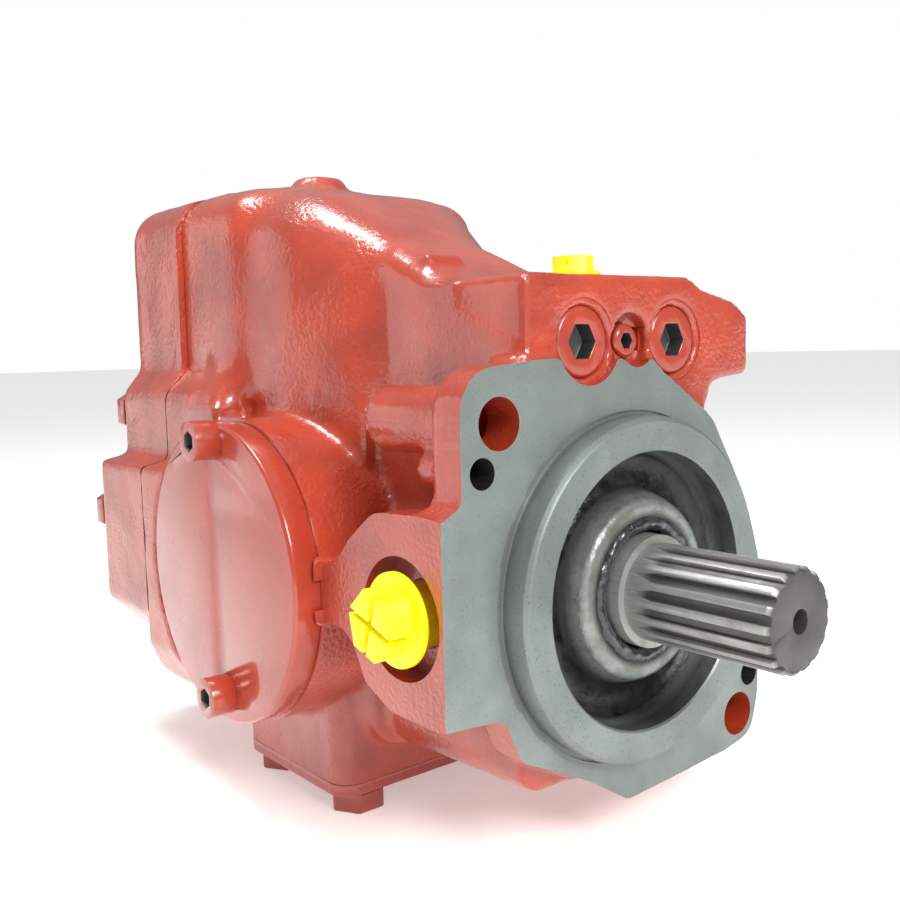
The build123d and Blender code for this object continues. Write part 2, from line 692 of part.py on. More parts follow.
def retainer_plate():
    """The plate that holds the slippers to the swash plate."""
    with BuildPart() as plate:
        along_y(RETAINER_R, PIVOT_Y + 2.9, PIVOT_Y + 4.9)
        with Locations((0, PIVOT_Y, 0)):
            Sphere(GUIDE_SPHERE_R + 0.25, mode=Mode.SUBTRACT)
        for x, z in piston_places():
            along_y(RETAINER_HOLE_R, PIVOT_Y, PIVOT_Y + 8, x, z, mode=Mode.SUBTRACT)
    return plate.part


def ball_guide():
    """The half ball on the shaft that presses the retainer plate."""
    with BuildPart() as guide:
        with Locations((0, PIVOT_Y, 0)):
            Sphere(GUIDE_SPHERE_R)
        along_y(30, PIVOT_Y + 7, PIVOT_Y + 30, mode=Mode.SUBTRACT)
        along_y(30, PIVOT_Y - 30, PIVOT_Y - 6, mode=Mode.SUBTRACT)
        along_y(18.0, 86, PIVOT_Y - 5.9)
        along_y(14.1, 80, PIVOT_Y + 10, mode=Mode.SUBTRACT)
    return guide.part.solid()


def valve_plate():
    """The plate between the floor and the barrel, with its two kidneys."""
    with BuildPart() as plate:
        with BuildSketch(across(34)):
            Circle(BARREL_R)
            Circle(19.5, mode=Mode.SUBTRACT)
        extrude(amount=-3)
        for angle in (0, 180):
            extrude(kidney(across(33), angle), amount=-5, mode=Mode.SUBTRACT)
    return plate.part


def coil_spring(mean_r, wire_r, y_from, y_to, turns, x=0.0, z=0.0):
    """A compression spring along Y."""
    height = y_to - y_from - 2 * wire_r
    with BuildPart() as spring:
        with BuildLine() as path:
            Helix(pitch=height / turns, height=height, radius=mean_r)
        with BuildSketch(Plane(origin=path.line @ 0, z_dir=path.line % 0)):
            Circle(wire_r)
        sweep(path=path.line, is_frenet=True)
    upright = spring.part.rotate(Axis.X, -90)
    return upright.moved(Location((x, y_from + wire_r, z)))


# ---------------------------------------------------------------- swash plate and controls


def swash_plate():
    """The tilting plate, its two cheeks with trunnions, and the control arm with its roller end."""
    face_y, back_y = PIVOT_Y + SWASH_FACE, PIVOT_Y + SWASH_BACK
    with BuildPart() as yoke:
        along_y(44, face_y, back_y)
        block((-53, 53), (face_y, back_y), (-24, 24))
        for side in (-1, 1):
            span = sorted((side * 45, side * 53))
            block(span, (PIVOT_Y, back_y), (-17, 17))
            along_x(17, *span, PIVOT_Y)
            along_x(TRUNNION_R, *sorted((side * 52, side * 69)), PIVOT_Y)
        along_y(20.5, face_y - 1, back_y + 1, mode=Mode.SUBTRACT)
        block((-8, 8), (face_y, back_y), (36, 53))
        block((-8, 8), (PIVOT_Y - 3.2, back_y), (47.5, 53))
        block((-8, 8), (PIVOT_Y - 3.2, PIVOT_Y + 3.2), (50, CONTROL_Z))
        along_x(ARM_ROLLER_R, -8, 8, PIVOT_Y, CONTROL_Z)
    return yoke.part


def control_piston():
    """The plunger that pushes the arm back towards zero stroke."""
    nose_y = PIVOT_Y - ARM_ROLLER_R - 0.3
    with BuildPart() as plunger:
        along_y(CONTROL_PISTON_R, nose_y - 42, nose_y, 0, CONTROL_Z)
        along_y(6, nose_y - 43, nose_y - 8, 0, CONTROL_Z, mode=Mode.SUBTRACT)
    return plunger.part


def bias_piston():
    """The cup round the bias spring that pushes the arm to full stroke."""
    nose_y = PIVOT_Y + ARM_ROLLER_R + 0.3
    with BuildPart() as cup:
        along_y(BIAS_PISTON_R, nose_y, 164, 0, CONTROL_Z)
        along_y(10.5, 120, 165, 0, CONTROL_Z, mode=Mode.SUBTRACT)
    return cup.part


def control_spool(x):
    """A two-land control spool."""
    with BuildPart() as spool:
        along_y(SPOOL_R, 18, 24, x, CONTROL_Z)
        along_y(2.8, 23, 33, x, CONTROL_Z)
        along_y(SPOOL_R, 32, 38, x, CONTROL_Z)
    return spool.part


def build():
    """Makes every piece and writes it."""
    os.makedirs("parts", exist_ok=True)
    save(housing(), "housing")
    save(rear_cover(), "rear_cover")
    for side, word in ((-1, "left"), (1, "right")):
        save(side_cover(side), f"side_cover_{word}")
        save(side_cover_screws(side), f"side_cover_screws_{word}")
    save(inlet_flange(), "inlet_flange")
    save(rear_cover_bolts(), "rear_cover_bolts")
    save(rear_dowels(), "rear_dowels")
    save(inlet_flange_bolts(), "inlet_flange_bolts")
    save(socket_plug(PLUG_R, PLUG_FACE_Y, 13.5, LOAD_SENSE_X, 5.6), "load_sense_plug")
    save(socket_plug(PLUG_R, PLUG_FACE_Y, 13.5, PRESSURE_X, 5.6), "pressure_plug")
    save(socket_plug(GAUGE_PLUG_R, 2.6, 12.2, GAUGE_PLUG_X, 2.6), "gauge_plug")
    save(bleed_plug(), "bleed_plug")
    save(side_port_cap(), "side_port_cap")
    save(top_port_cap(), "top_port_cap")
    save(seal_case(), "seal_case")
    save(seal_lip(), "seal_lip")
    save(side_cover_seals(), "side_cover_seals")
    save(rear_gasket(), "rear_gasket")

    save(bearing_race(21.6, 23.45, 10.5, 30.5, 21.6), "front_bearing_outer")
    save(rollers(28, 20.0, 2.17, 12.8, 28.2), "front_bearing_rollers")
    save(bearing_race(17.5, 18.4, 10.5, 30.5, 18.4), "front_bearing_inner")
    save(bearing_race(22.6, 25.95, 189, 203, 22.6), "rear_bearing_outer")
    save(rollers(17, 19.6, 3.57, 191.2, 200.8), "rear_bearing_rollers")
    save(bearing_race(12.5, 16.6, 189, 203, 16.6), "rear_bearing_inner")
    save(trunnion_bearings(), "trunnion_bearings")

    save(shaft(), "shaft")
    save(barrel(), "cylinder_barrel")
    save(valve_plate(), "valve_plate")
    plunger, shoe = piston(), slipper()
    for number, (x, z) in enumerate(piston_places(), start=1):
        save(plunger.moved(Location((x, 0, z))), f"piston_{number}")
        save(shoe.moved(Location((x, 0, z))), f"slipper_{number}")
    save(retainer_plate(), "retainer_plate")
    save(ball_guide(), "ball_guide")
    save(coil_spring(17.2, 1.5, 58.2, 85.8, 3.5), "barrel_spring")

    save(swash_plate(), "swash_plate")
    save(control_piston(), "control_piston")
    save(bias_piston(), "bias_piston")
    save(coil_spring(8.6, 1.5, 120.2, 204.8, 11, 0, CONTROL_Z), "bias_spring")
    for x, word in ((LOAD_SENSE_X, "load_sense"), (PRESSURE_X, "pressure")):
        save(control_spool(x), f"{word}_spool")
        save(coil_spring(3.6, 0.7, 38.2, 55.8, 6, x, CONTROL_Z), f"{word}_spring")


build()
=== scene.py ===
import json
import logging
import math
from dataclasses import dataclass, field
from enum import Enum
from typing import Callable, Iterable

import bpy
from mathutils import Matrix, Vector


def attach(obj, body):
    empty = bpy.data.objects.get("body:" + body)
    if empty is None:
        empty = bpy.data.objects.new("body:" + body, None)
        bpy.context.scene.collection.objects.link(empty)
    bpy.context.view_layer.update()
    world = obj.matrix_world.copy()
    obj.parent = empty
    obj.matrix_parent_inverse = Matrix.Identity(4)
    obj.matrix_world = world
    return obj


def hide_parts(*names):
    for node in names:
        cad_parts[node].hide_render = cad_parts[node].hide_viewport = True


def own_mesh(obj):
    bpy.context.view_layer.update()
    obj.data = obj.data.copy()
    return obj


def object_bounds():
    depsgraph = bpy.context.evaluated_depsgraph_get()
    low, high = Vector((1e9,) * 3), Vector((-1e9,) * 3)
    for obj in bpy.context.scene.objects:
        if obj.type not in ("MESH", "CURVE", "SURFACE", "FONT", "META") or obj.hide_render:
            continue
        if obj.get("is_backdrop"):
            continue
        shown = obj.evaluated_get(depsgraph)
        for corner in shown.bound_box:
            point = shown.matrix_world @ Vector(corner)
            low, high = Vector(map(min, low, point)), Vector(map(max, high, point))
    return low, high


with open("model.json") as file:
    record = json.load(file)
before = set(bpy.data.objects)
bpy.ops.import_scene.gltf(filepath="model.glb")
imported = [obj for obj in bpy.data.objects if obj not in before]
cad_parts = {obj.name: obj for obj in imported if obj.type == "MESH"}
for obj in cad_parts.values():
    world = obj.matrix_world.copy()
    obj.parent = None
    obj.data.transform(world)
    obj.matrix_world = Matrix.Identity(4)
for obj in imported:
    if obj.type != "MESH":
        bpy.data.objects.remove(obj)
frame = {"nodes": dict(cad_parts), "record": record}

LOG = logging.getLogger("pump")
MM = 0.001

# Places shared by more than one piece, in millimetres.
COVER_Y = 107.5
COVER_SEAT_X = 72.0
COVER_SCREW_YZ = ((107.3, 44.0), (104.2, -39.6))
VALVE_Z = 72.5
LOAD_SENSE_X, GAUGE_X, GAUGE_PLUG_X, PRESSURE_X = -17.0, 3.0, 1.1, 22.4
FLANGE_HOLE_XZ = 51.619
TAP_XZ = (57.8, -39.0)
SPLIT_Y, REAR_FACE_Y = 168.0, 168.5
REAR_BOLT_XZ = ((-71, 9), (71, 9), (-47, 116), (42, 116), (-60, 49), (60, 49), (-51, -40), (51, -40))
DOWEL_XZ = ((-69, -15), (69, -15))


class AxisName(Enum):
    """The row axis a bore or a turned piece lies along."""

    X = 0
    Y = 1
    Z = 2


# ---------------------------------------------------------------- materials


def linear(hex_colour: str) -> tuple[float, float, float, float]:
    """Turns an sRGB hex colour into a linear one.

    Args:
        hex_colour: six hex digits, with or without a leading #.

    Returns:
        Linear red, green, blue and an alpha of one.
    """
    digits = hex_colour.lstrip("#")
    channels = [int(digits[i : i + 2], 16) / 255 for i in (0, 2, 4)]
    r, g, b = (c / 12.92 if c <= 0.04045 else ((c + 0.055) / 1.055) ** 2.4 for c in channels)
    return (r, g, b, 1.0)


def add_node(
    tree: bpy.types.NodeTree, kind: str, links: dict | None = None, **settings: object
) -> bpy.types.Node:
    """Adds a shader node, sets it up and links it.

    Args:
        tree: the material's node tree.
        kind: the node's type name.
        links: input name or number, to a value or to the output socket that feeds it.
        settings: properties of the node itself.

    Returns:
        The new node.
    """
    node = tree.nodes.new(kind)
    for name, value in settings.items():
        setattr(node, name, value)
    for key, value in (links or {}).items():
        if isinstance(value, bpy.types.NodeSocket):
            tree.links.new(value, node.inputs[key])
        else:
            node.inputs[key].default_value = value
    return node


def blank_material(
    name: str,
) -> tuple[bpy.types.Material, bpy.types.NodeTree, bpy.types.Node, bpy.types.NodeSocket]:
    """Makes a material with a principled shader.

    Args:
        name: the finish's real name.

    Returns:
        The material, its tree, its shader and the object coordinates.
    """
    material = bpy.data.materials.new(name)
    material.use_nodes = True
    tree = material.node_tree
    shader = tree.nodes["Principled BSDF"]
    coords = add_node(tree, "ShaderNodeTexCoord").outputs["Object"]
    return material, tree, shader, coords


def grain(
    tree: bpy.types.NodeTree, coords: bpy.types.NodeSocket, size_mm: float, detail: float = 2.0, rough: float = 0.5
) -> bpy.types.NodeSocket:
    """A noise whose lumps are about size_mm across.

    Args:
        tree: the material's node tree.
        coords: where the pattern is read.
        size_mm: the lumps' real size.
        detail: octaves of finer noise.
        rough: how strong the finer noise is.

    Returns:
        The noise's factor.
    """
    settings = {"Vector": coords, "Scale": 1.0 / (size_mm * MM), "Detail": detail, "Roughness": rough}
    return add_node(tree, "ShaderNodeTexNoise", settings).outputs[0]


def ramp(
    tree: bpy.types.NodeTree, factor: bpy.types.NodeSocket, low: float, high: float, out_low: float, out_high: float
) -> bpy.types.NodeSocket:
    """Maps a factor to a new range, clamped.

    Args:
        tree: the material's node tree.
        factor: the value to map.
        low: input that gives out_low.
        high: input that gives out_high.
        out_low: first output.
        out_high: last output.

    Returns:
        The mapped value.
    """
    values = {"Value": factor, "From Min": low, "From Max": high, "To Min": out_low, "To Max": out_high}
    return add_node(tree, "ShaderNodeMapRange", values, clamp=True).outputs["Result"]


def mix_colours(
    tree: bpy.types.NodeTree, factor: bpy.types.NodeSocket, first: object, second: object
) -> bpy.types.NodeSocket:
    """Mixes two colours.

    Args:
        tree: the material's node tree.
        factor: 0 gives first, 1 gives second.
        first: hex colour or socket.
        second: hex colour or socket.

    Returns:
        The mixed colour.
    """
    pair = [linear(c) if isinstance(c, str) else c for c in (first, second)]
    node = add_node(tree, "ShaderNodeMix", {0: factor, 6: pair[0], 7: pair[1]}, data_type="RGBA")
    return node.outputs[2]


def bump(
    tree: bpy.types.NodeTree,
    height: bpy.types.NodeSocket,
    depth_mm: float,
    under: bpy.types.NodeSocket | None = None,
) -> bpy.types.NodeSocket:
    """A bump of a real depth.

    Args:
        tree: the material's node tree.
        height: the pattern.
        depth_mm: what the pattern's whole range stands for.
        under: a coarser bump below this one.

    Returns:
        The bent normal.
    """
    links: dict = {"Height": height, "Distance": depth_mm * MM, "Strength": 1.0}
    if under is not None:
        links["Normal"] = under
    return add_node(tree, "ShaderNodeBump", links).outputs["Normal"]


def radius_about_y(tree: bpy.types.NodeTree, coords: bpy.types.NodeSocket) -> bpy.types.NodeSocket:
    """The distance from the shaft's axis.

    Args:
        tree: the material's node tree.
        coords: object coordinates.

    Returns:
        The distance in metres.
    """
    flat = add_node(tree, "ShaderNodeVectorMath", {0: coords, 1: (1.0, 0.0, 1.0)}, operation="MULTIPLY")
    length = add_node(tree, "ShaderNodeVectorMath", {0: flat.outputs["Vector"]}, operation="LENGTH")
    return length.outputs["Value"]


@dataclass(frozen=True)
class GlossEnamel:
    """Air-dried machinery enamel brushed and sprayed over iron: glossy, pooled, with the casting's grit under it."""

    name: str
    colour: str = "#B03E25"
    thick: str = "#8A2817"
    grit_mm: float = 1.5
    grit_depth_mm: float = 0.34
    peel_mm: float = 3.0
    peel_depth_mm: float = 0.10
    roughness: float = 0.34

    def make(self) -> bpy.types.Material:
        """Builds the enamel.

        Returns:
            The material.
        """
        material, tree, shader, coords = blank_material(self.name)
        # Where the coat is thick the red deepens, in patches a few centimetres wide.
        patches = grain(tree, coords, 22.0, 3.0)
        specks = grain(tree, coords, 1.6, 2.0)
        base = mix_colours(tree, ramp(tree, patches, 0.38, 0.68, 0.0, 0.7), self.colour, self.thick)
        toned = mix_colours(tree, ramp(tree, specks, 0.62, 0.78, 0.0, 0.35), base, "#5E150F")
        tree.links.new(toned, shader.inputs["Base Color"])
        # Orange peel gives wavy reflections; the cast grit below breaks them into sparkles.
        peel = bump(tree, grain(tree, coords, self.peel_mm, 1.0), self.peel_depth_mm)
        grit = grain(tree, coords, self.grit_mm, 2.0, 0.6)
        where = ramp(tree, grain(tree, coords, 26.0, 1.0), 0.42, 0.6, 0.2, 1.0)
        gritted = add_node(tree, "ShaderNodeMath", {0: grit, 1: where}, operation="MULTIPLY").outputs[0]
        normal = bump(tree, gritted, self.grit_depth_mm, peel)
        tree.links.new(normal, shader.inputs["Normal"])
        gloss = ramp(tree, patches, 0.3, 0.7, self.roughness - 0.05, self.roughness + 0.1)
        tree.links.new(gloss, shader.inputs["Roughness"])
        shader.inputs["Coat Weight"].default_value = 0.8
        shader.inputs["Coat Roughness"].default_value = 0.07
        shader.inputs["IOR"].default_value = 1.5
        tree.links.new(normal, shader.inputs["Coat Normal"])
        return material


@dataclass(frozen=True)
class MachinedIron:
    """Grey cast iron after a facing cut: dull grey-green, fine tool rings, graphite specks, rust-brown oil lines."""

    name: str
    colour: str = "#858C88"
    dark: str = "#777E7A"
    ring_mm: float = 0.8
    stain_radius_mm: float = 52.9

    def make(self) -> bpy.types.Material:
        """Builds the machined iron.

        Returns:
            The material.
        """
        material, tree, shader, coords = blank_material(self.name)
        radius = radius_about_y(tree, coords)
        cloud = grain(tree, coords, 18.0, 3.0)
        speck = grain(tree, coords, 0.7, 2.0)
        base = mix_colours(tree, ramp(tree, cloud, 0.35, 0.7, 0.0, 1.0), self.colour, self.dark)
        base = mix_colours(tree, ramp(tree, speck, 0.60, 0.72, 0.0, 0.5), base, "#474D4B")
        # Oil and primer have crept into the corner round the pilot and dried to a brown line.
        near = add_node(tree, "ShaderNodeMath", {0: radius, 1: self.stain_radius_mm * MM}, operation="SUBTRACT")
        off = add_node(tree, "ShaderNodeMath", {0: near.outputs[0]}, operation="ABSOLUTE").outputs[0]
        wander = ramp(tree, grain(tree, coords, 9.0, 3.0), 0.35, 0.7, 0.0001, 0.0014)
        edge = add_node(tree, "ShaderNodeMath", {0: off, 1: wander}, operation="LESS_THAN").outputs[0]
        low_half = add_node(tree, "ShaderNodeSeparateXYZ", {0: coords}).outputs["X"]
        side = ramp(tree, low_half, -0.01, -0.045, 0.0, 0.4)
        stain = add_node(tree, "ShaderNodeMath", {0: edge, 1: side}, operation="MULTIPLY").outputs[0]
        base = mix_colours(tree, stain, base, "#5A4A3E")
        tree.links.new(base, shader.inputs["Base Color"])
        shader.inputs["Metallic"].default_value = 0.55
        # The facing tool leaves rings about the shaft; they are drawn a little coarser than real so that they show.
        rings = add_node(tree, "ShaderNodeMath", {0: radius, 1: math.tau / (self.ring_mm * MM)}, operation="MULTIPLY")
        wave = add_node(tree, "ShaderNodeMath", {0: rings.outputs[0]}, operation="SINE").outputs[0]
        normal = bump(tree, wave, 0.006, bump(tree, speck, 0.02))
        tree.links.new(normal, shader.inputs["Normal"])
        tree.links.new(ramp(tree, cloud, 0.3, 0.7, 0.38, 0.52), shader.inputs["Roughness"])
        return material


@dataclass(frozen=True)
class SandCastSkin:
    """Bare sand-cast skin inside the pilot: near black across the hollow, lighter on the ring round the hub and at
    the mouth's edge.
    """

    name: str
    bright_radius_mm: float = 25.5
    bright_width_mm: float = 4.0

    def make(self) -> bpy.types.Material:
        """Builds the cast skin.

        Returns:
            The material.
        """
        material, tree, shader, coords = blank_material(self.name)
        radius = radius_about_y(tree, coords)
        # Lighter on a ring round the hub and at the mouth's edge, near black elsewhere in the hollow.
        off = add_node(tree, "ShaderNodeMath", {0: radius, 1: self.bright_radius_mm * MM}, operation="SUBTRACT")
        dist = add_node(tree, "ShaderNodeMath", {0: off.outputs[0]}, operation="ABSOLUTE").outputs[0]
        hub_ring_lighter = ramp(tree, dist, self.bright_width_mm * MM, 0.5 * self.bright_width_mm * MM, 0.0, 1.0)
        rim = ramp(tree, radius, 0.0396, 0.0406, 0.0, 0.8)
        lighter_places = add_node(tree, "ShaderNodeMath", {0: hub_ring_lighter, 1: rim}, operation="MAXIMUM").outputs[0]
        cloud = grain(tree, coords, 8.0, 4.0, 0.6)
        hollow_dark_tone = mix_colours(tree, ramp(tree, cloud, 0.35, 0.65, 0.0, 1.0), "#161614", "#3F403C")
        lighter_tone = mix_colours(tree, ramp(tree, cloud, 0.4, 0.7, 0.0, 1.0), "#8C918D", "#63685F")
        tree.links.new(mix_colours(tree, lighter_places, hollow_dark_tone, lighter_tone), shader.inputs["Base Color"])
        shader.inputs["Metallic"].default_value = 0.5
        lumps = bump(tree, grain(tree, coords, 1.4, 3.0, 0.6), 0.22)
        tree.links.new(bump(tree, grain(tree, coords, 5.0, 2.0), 0.3, lumps), shader.inputs["Normal"])
        tree.links.new(ramp(tree, cloud, 0.35, 0.7, 0.26, 0.5), shader.inputs["Roughness"])
        return material


@dataclass(frozen=True)
class GroundSteel:
    """Ground or milled steel: lines along the cut, and painted shade low down between the teeth."""

    name: str
    colour: str = "#9A9A98"
    # Painted shade: the darker colour deep between the teeth.
    groove: str = "#4A4846"
    shaded_below_radius_mm: float = 0.0
    line_mm: float = 0.35
    roughness: float = 0.3
    metallic: float = 0.9
    stretch: tuple[float, float, float] = (1.0, 0.04, 1.0)

    def make(self) -> bpy.types.Material:
        """Builds the steel.

        Returns:
            The material.
        """
        material, tree, shader, coords = blank_material(self.name)
        drawn = add_node(tree, "ShaderNodeMapping", {"Vector": coords, "Scale": self.stretch}).outputs["Vector"]
        lines = grain(tree, drawn, self.line_mm, 3.0, 0.6)
        cloud = grain(tree, coords, 7.0, 3.0)
        base = mix_colours(tree, ramp(tree, lines, 0.35, 0.7, 0.0, 0.5), self.colour, "#77787A")
        base = mix_colours(tree, ramp(tree, cloud, 0.5, 0.75, 0.0, 0.4), base, "#6E6A64")
        # Painted shade: below the given radius, deep between the spline's teeth, the colour darkens.
        if self.shaded_below_radius_mm:
            depth = radius_about_y(tree, coords)
            low = ramp(tree, depth, self.shaded_below_radius_mm * MM, (self.shaded_below_radius_mm - 0.9) * MM, 0.0, 0.9)
            base = mix_colours(tree, low, base, self.groove)
        tree.links.new(base, shader.inputs["Base Color"])
        shader.inputs["Metallic"].default_value = self.metallic
        tree.links.new(bump(tree, lines, 0.012), shader.inputs["Normal"])
        tree.links.new(ramp(tree, cloud, 0.3, 0.7, self.roughness, self.roughness + 0.16), shader.inputs["Roughness"])
        return material


@dataclass(frozen=True)
class GreasedRubber:
    """Nitrile rubber under black grease: nearly black, wet highlights in small lumps."""

    name: str
    colour: str = "#101112"
    streak: str = "#2C3138"

    def make(self) -> bpy.types.Material:
        """Builds the greased rubber.

        Returns:
            The material.
        """
        material, tree, shader, coords = blank_material(self.name)
        smear = grain(tree, coords, 3.0, 4.0, 0.65)
        tone = mix_colours(tree, ramp(tree, smear, 0.4, 0.65, 0.0, 1.0), self.colour, self.streak)
        tree.links.new(tone, shader.inputs["Base Color"])
        tree.links.new(bump(tree, smear, 0.5), shader.inputs["Normal"])
        tree.links.new(ramp(tree, smear, 0.35, 0.65, 0.12, 0.45), shader.inputs["Roughness"])
        shader.inputs["Coat Weight"].default_value = 0.7
        shader.inputs["Coat Roughness"].default_value = 0.08
        return material


@dataclass(frozen=True)
class ShippingPlastic:
    """Low-density polyethylene in fluorescent yellow, injection moulded: soft, waxy, faintly see-through."""

    name: str
    colour: str = "#FFF400"
    shade: str = "#F2DE00"

    def make(self) -> bpy.types.Material:
        """Builds the plastic.

        Returns:
            The material.
        """
        material, tree, shader, coords = blank_material(self.name)
        flow = grain(tree, coords, 4.0, 2.0)
        tone = mix_colours(tree, ramp(tree, flow, 0.4, 0.7, 0.0, 0.6), self.colour, self.shade)
        tree.links.new(tone, shader.inputs["Base Color"])
        shader.inputs["Subsurface Weight"].default_value = 0.25
        shader.inputs["Subsurface Radius"].default_value = (0.003, 0.003, 0.001)
        shader.inputs["Subsurface Scale"].default_value = 1.0
        shader.inputs["IOR"].default_value = 1.51
        ripple = bump(tree, grain(tree, coords, 0.6, 2.0), 0.015, bump(tree, flow, 0.05))
        tree.links.new(ripple, shader.inputs["Normal"])
        tree.links.new(ramp(tree, flow, 0.3, 0.7, 0.38, 0.5), shader.inputs["Roughness"])
        return material


@dataclass(frozen=True)
class LappedBronze:
    """Sintered bronze, lapped: warm brown-gold with a fine haze of scratches."""

    name: str
    colour: str = "#A77C45"
    dark: str = "#7D5A30"

    def make(self) -> bpy.types.Material:
        """Builds the bronze.

        Returns:
            The material.
        """
        material, tree, shader, coords = blank_material(self.name)
        pores = grain(tree, coords, 0.9, 3.0)
        tone = mix_colours(tree, ramp(tree, pores, 0.4, 0.7, 0.0, 1.0), self.colour, self.dark)
        tree.links.new(tone, shader.inputs["Base Color"])
        shader.inputs["Metallic"].default_value = 1.0
        tree.links.new(bump(tree, pores, 0.02), shader.inputs["Normal"])
        tree.links.new(ramp(tree, pores, 0.3, 0.7, 0.25, 0.4), shader.inputs["Roughness"])
        return material


@dataclass(frozen=True)
class FibreSheet:
    """Compressed fibre gasket: dull charcoal with short pale fibres."""

    name: str

    def make(self) -> bpy.types.Material:
        """Builds the gasket sheet.

        Returns:
            The material.
        """
        material, tree, shader, coords = blank_material(self.name)
        fibres = grain(tree, coords, 0.8, 4.0, 0.7)
        tone = mix_colours(tree, ramp(tree, fibres, 0.45, 0.7, 0.0, 1.0), "#1C1B1A", "#4B4640")
        tree.links.new(tone, shader.inputs["Base Color"])
        tree.links.new(bump(tree, fibres, 0.05), shader.inputs["Normal"])
        tree.links.new(ramp(tree, fibres, 0.3, 0.7, 0.75, 0.9), shader.inputs["Roughness"])
        return material


class Finishes:
    """Every finish on the pump, made once."""

    def __init__(self) -> None:
        """Makes the materials."""
        self.cast_red = GlossEnamel("red_enamel_on_sand_cast_iron").make()
        self.turned_red = GlossEnamel(
            "red_enamel_on_turned_steel", colour="#A83C29", thick="#98321F", grit_mm=0.9, grit_depth_mm=0.012,
            peel_mm=6.0, peel_depth_mm=0.035, roughness=0.24,
        ).make()
        self.fastener_red = GlossEnamel(
            "red_enamel_on_fasteners", colour="#A83A25", grit_depth_mm=0.03, peel_mm=2.0, peel_depth_mm=0.05,
        ).make()
        self.iron = MachinedIron("face_milled_cast_iron").make()
        self.skin = SandCastSkin("bare_sand_cast_skin").make()
        # The spline darkens below a radius of 14 mm, as painted shade between the teeth.
        self.spline = GroundSteel(
            "milled_spline_steel", colour="#A4A4A0", shaded_below_radius_mm=14.0, roughness=0.36, metallic=0.65,
        ).make()
        self.steel = GroundSteel("ground_bearing_steel", colour="#B4B6B8", roughness=0.2).make()
        # Dark steel: the real finish of the seal case and swash parts, and painted shade inside the sockets and
        # tapped holes.
        self.dark_steel = GroundSteel("phosphated_steel_and_painted_shade", colour="#4D4D4B", roughness=0.42).make()
        self.spring = GroundSteel("oil_tempered_spring_wire", colour="#5A5652", roughness=0.35).make()
        self.rubber = GreasedRubber("greased_nitrile_rubber").make()
        self.plastic = ShippingPlastic("fluorescent_polyethylene").make()
        self.bronze = LappedBronze("lapped_bronze").make()
        self.gasket = FibreSheet("compressed_fibre_gasket").make()


# ---------------------------------------------------------------- mesh tools


def select_only(obj: bpy.types.Object) -> None:
    """Deselects everything, then selects one object and makes it active.

    Args:
        obj: the object.
    """
    bpy.ops.object.select_all(action="DESELECT")
    obj.select_set(True)
    bpy.context.view_layer.objects.active = obj


def pick_faces(obj: bpy.types.Object, wanted: Callable[[Vector, Vector], bool]) -> int:
    """Selects the faces that a test accepts, in object mode.

    Args:
        obj: the piece.
        wanted: takes a face's centre and normal.

    Returns:
        How many faces it selected.
    """
    mesh = obj.data
    for things in (mesh.vertices, mesh.edges):
        things.foreach_set("select", [False] * len(things))
    count = 0
    for polygon in mesh.polygons:
        polygon.select = wanted(polygon.center, polygon.normal)
        count += polygon.select
    return count


def in_edit_mode(obj: bpy.types.Object, work: Callable[[], object], whole: bool = False) -> None:
    """Runs mesh operators on an object's faces.

    Args:
        obj: the piece.
        work: calls the operators.
        whole: selects every face first.
    """
    select_only(obj)
    bpy.ops.object.mode_set(mode="EDIT")
    bpy.ops.mesh.select_mode(type="FACE")
    if whole:
        bpy.ops.mesh.select_all(action="SELECT")
    work()
    bpy.ops.object.mode_set(mode="OBJECT")


def apply_modifier(obj: bpy.types.Object, kind: str, **settings: object) -> None:
    """Adds a modifier and applies it.

    Args:
        obj: the piece.
        kind: the modifier's type.
        settings: its properties.
    """
    select_only(obj)
    modifier = obj.modifiers.new(kind.lower(), kind)
    for name, value in settings.items():
        setattr(modifier, name, value)
    bpy.ops.object.modifier_apply(modifier=modifier.name)


def merge(obj: bpy.types.Object, distance: float = 1e-6) -> None:
    """Joins loose triangles at their corners."""
    in_edit_mode(obj, lambda: bpy.ops.mesh.remove_doubles(threshold=distance), whole=True)


def settle(obj: bpy.types.Object) -> None:
    """Puts the object at the origin with its place in its mesh."""
    select_only(obj)
    bpy.ops.object.transform_apply(location=True, rotation=True, scale=True)


def copy_of_node(node: str, name: str) -> bpy.types.Object:
    """A merged copy of a CAD node.

    Args:
        node: the CAD node.
        name: the new piece's name.

    Returns:
        The copy, with no materials.
    """
    source = frame["nodes"][node]
    piece = bpy.data.objects.new(name, source.data.copy())
    bpy.context.scene.collection.objects.link(piece)
    piece.data.materials.clear()
    merge(piece)
    return piece


def rod(
    name: str, axis: AxisName, radius: float, start: float, end: float, centre: tuple[float, float]
) -> bpy.types.Object:
    """A cylinder primitive along a row axis, used as a tool. Sizes are in millimetres.

    Args:
        name: the tool's name.
        axis: the axis it lies along.
        radius: its radius.
        start: its lower end.
        end: its upper end.
        centre: where the axis crosses, in the other two axes' order.

    Returns:
        The cylinder.
    """
    middle = (start + end) / 2
    place = list(centre)
    place.insert(axis.value, middle)
    turn = {AxisName.X: (0, math.pi / 2, 0), AxisName.Y: (math.pi / 2, 0, 0), AxisName.Z: (0, 0, 0)}[axis]
    bpy.ops.mesh.primitive_cylinder_add(
        vertices=72, radius=radius * MM, depth=(end - start) * MM, location=[v * MM for v in place], rotation=turn
    )
    tool = bpy.context.active_object
    tool.name = name
    settle(tool)
    return tool


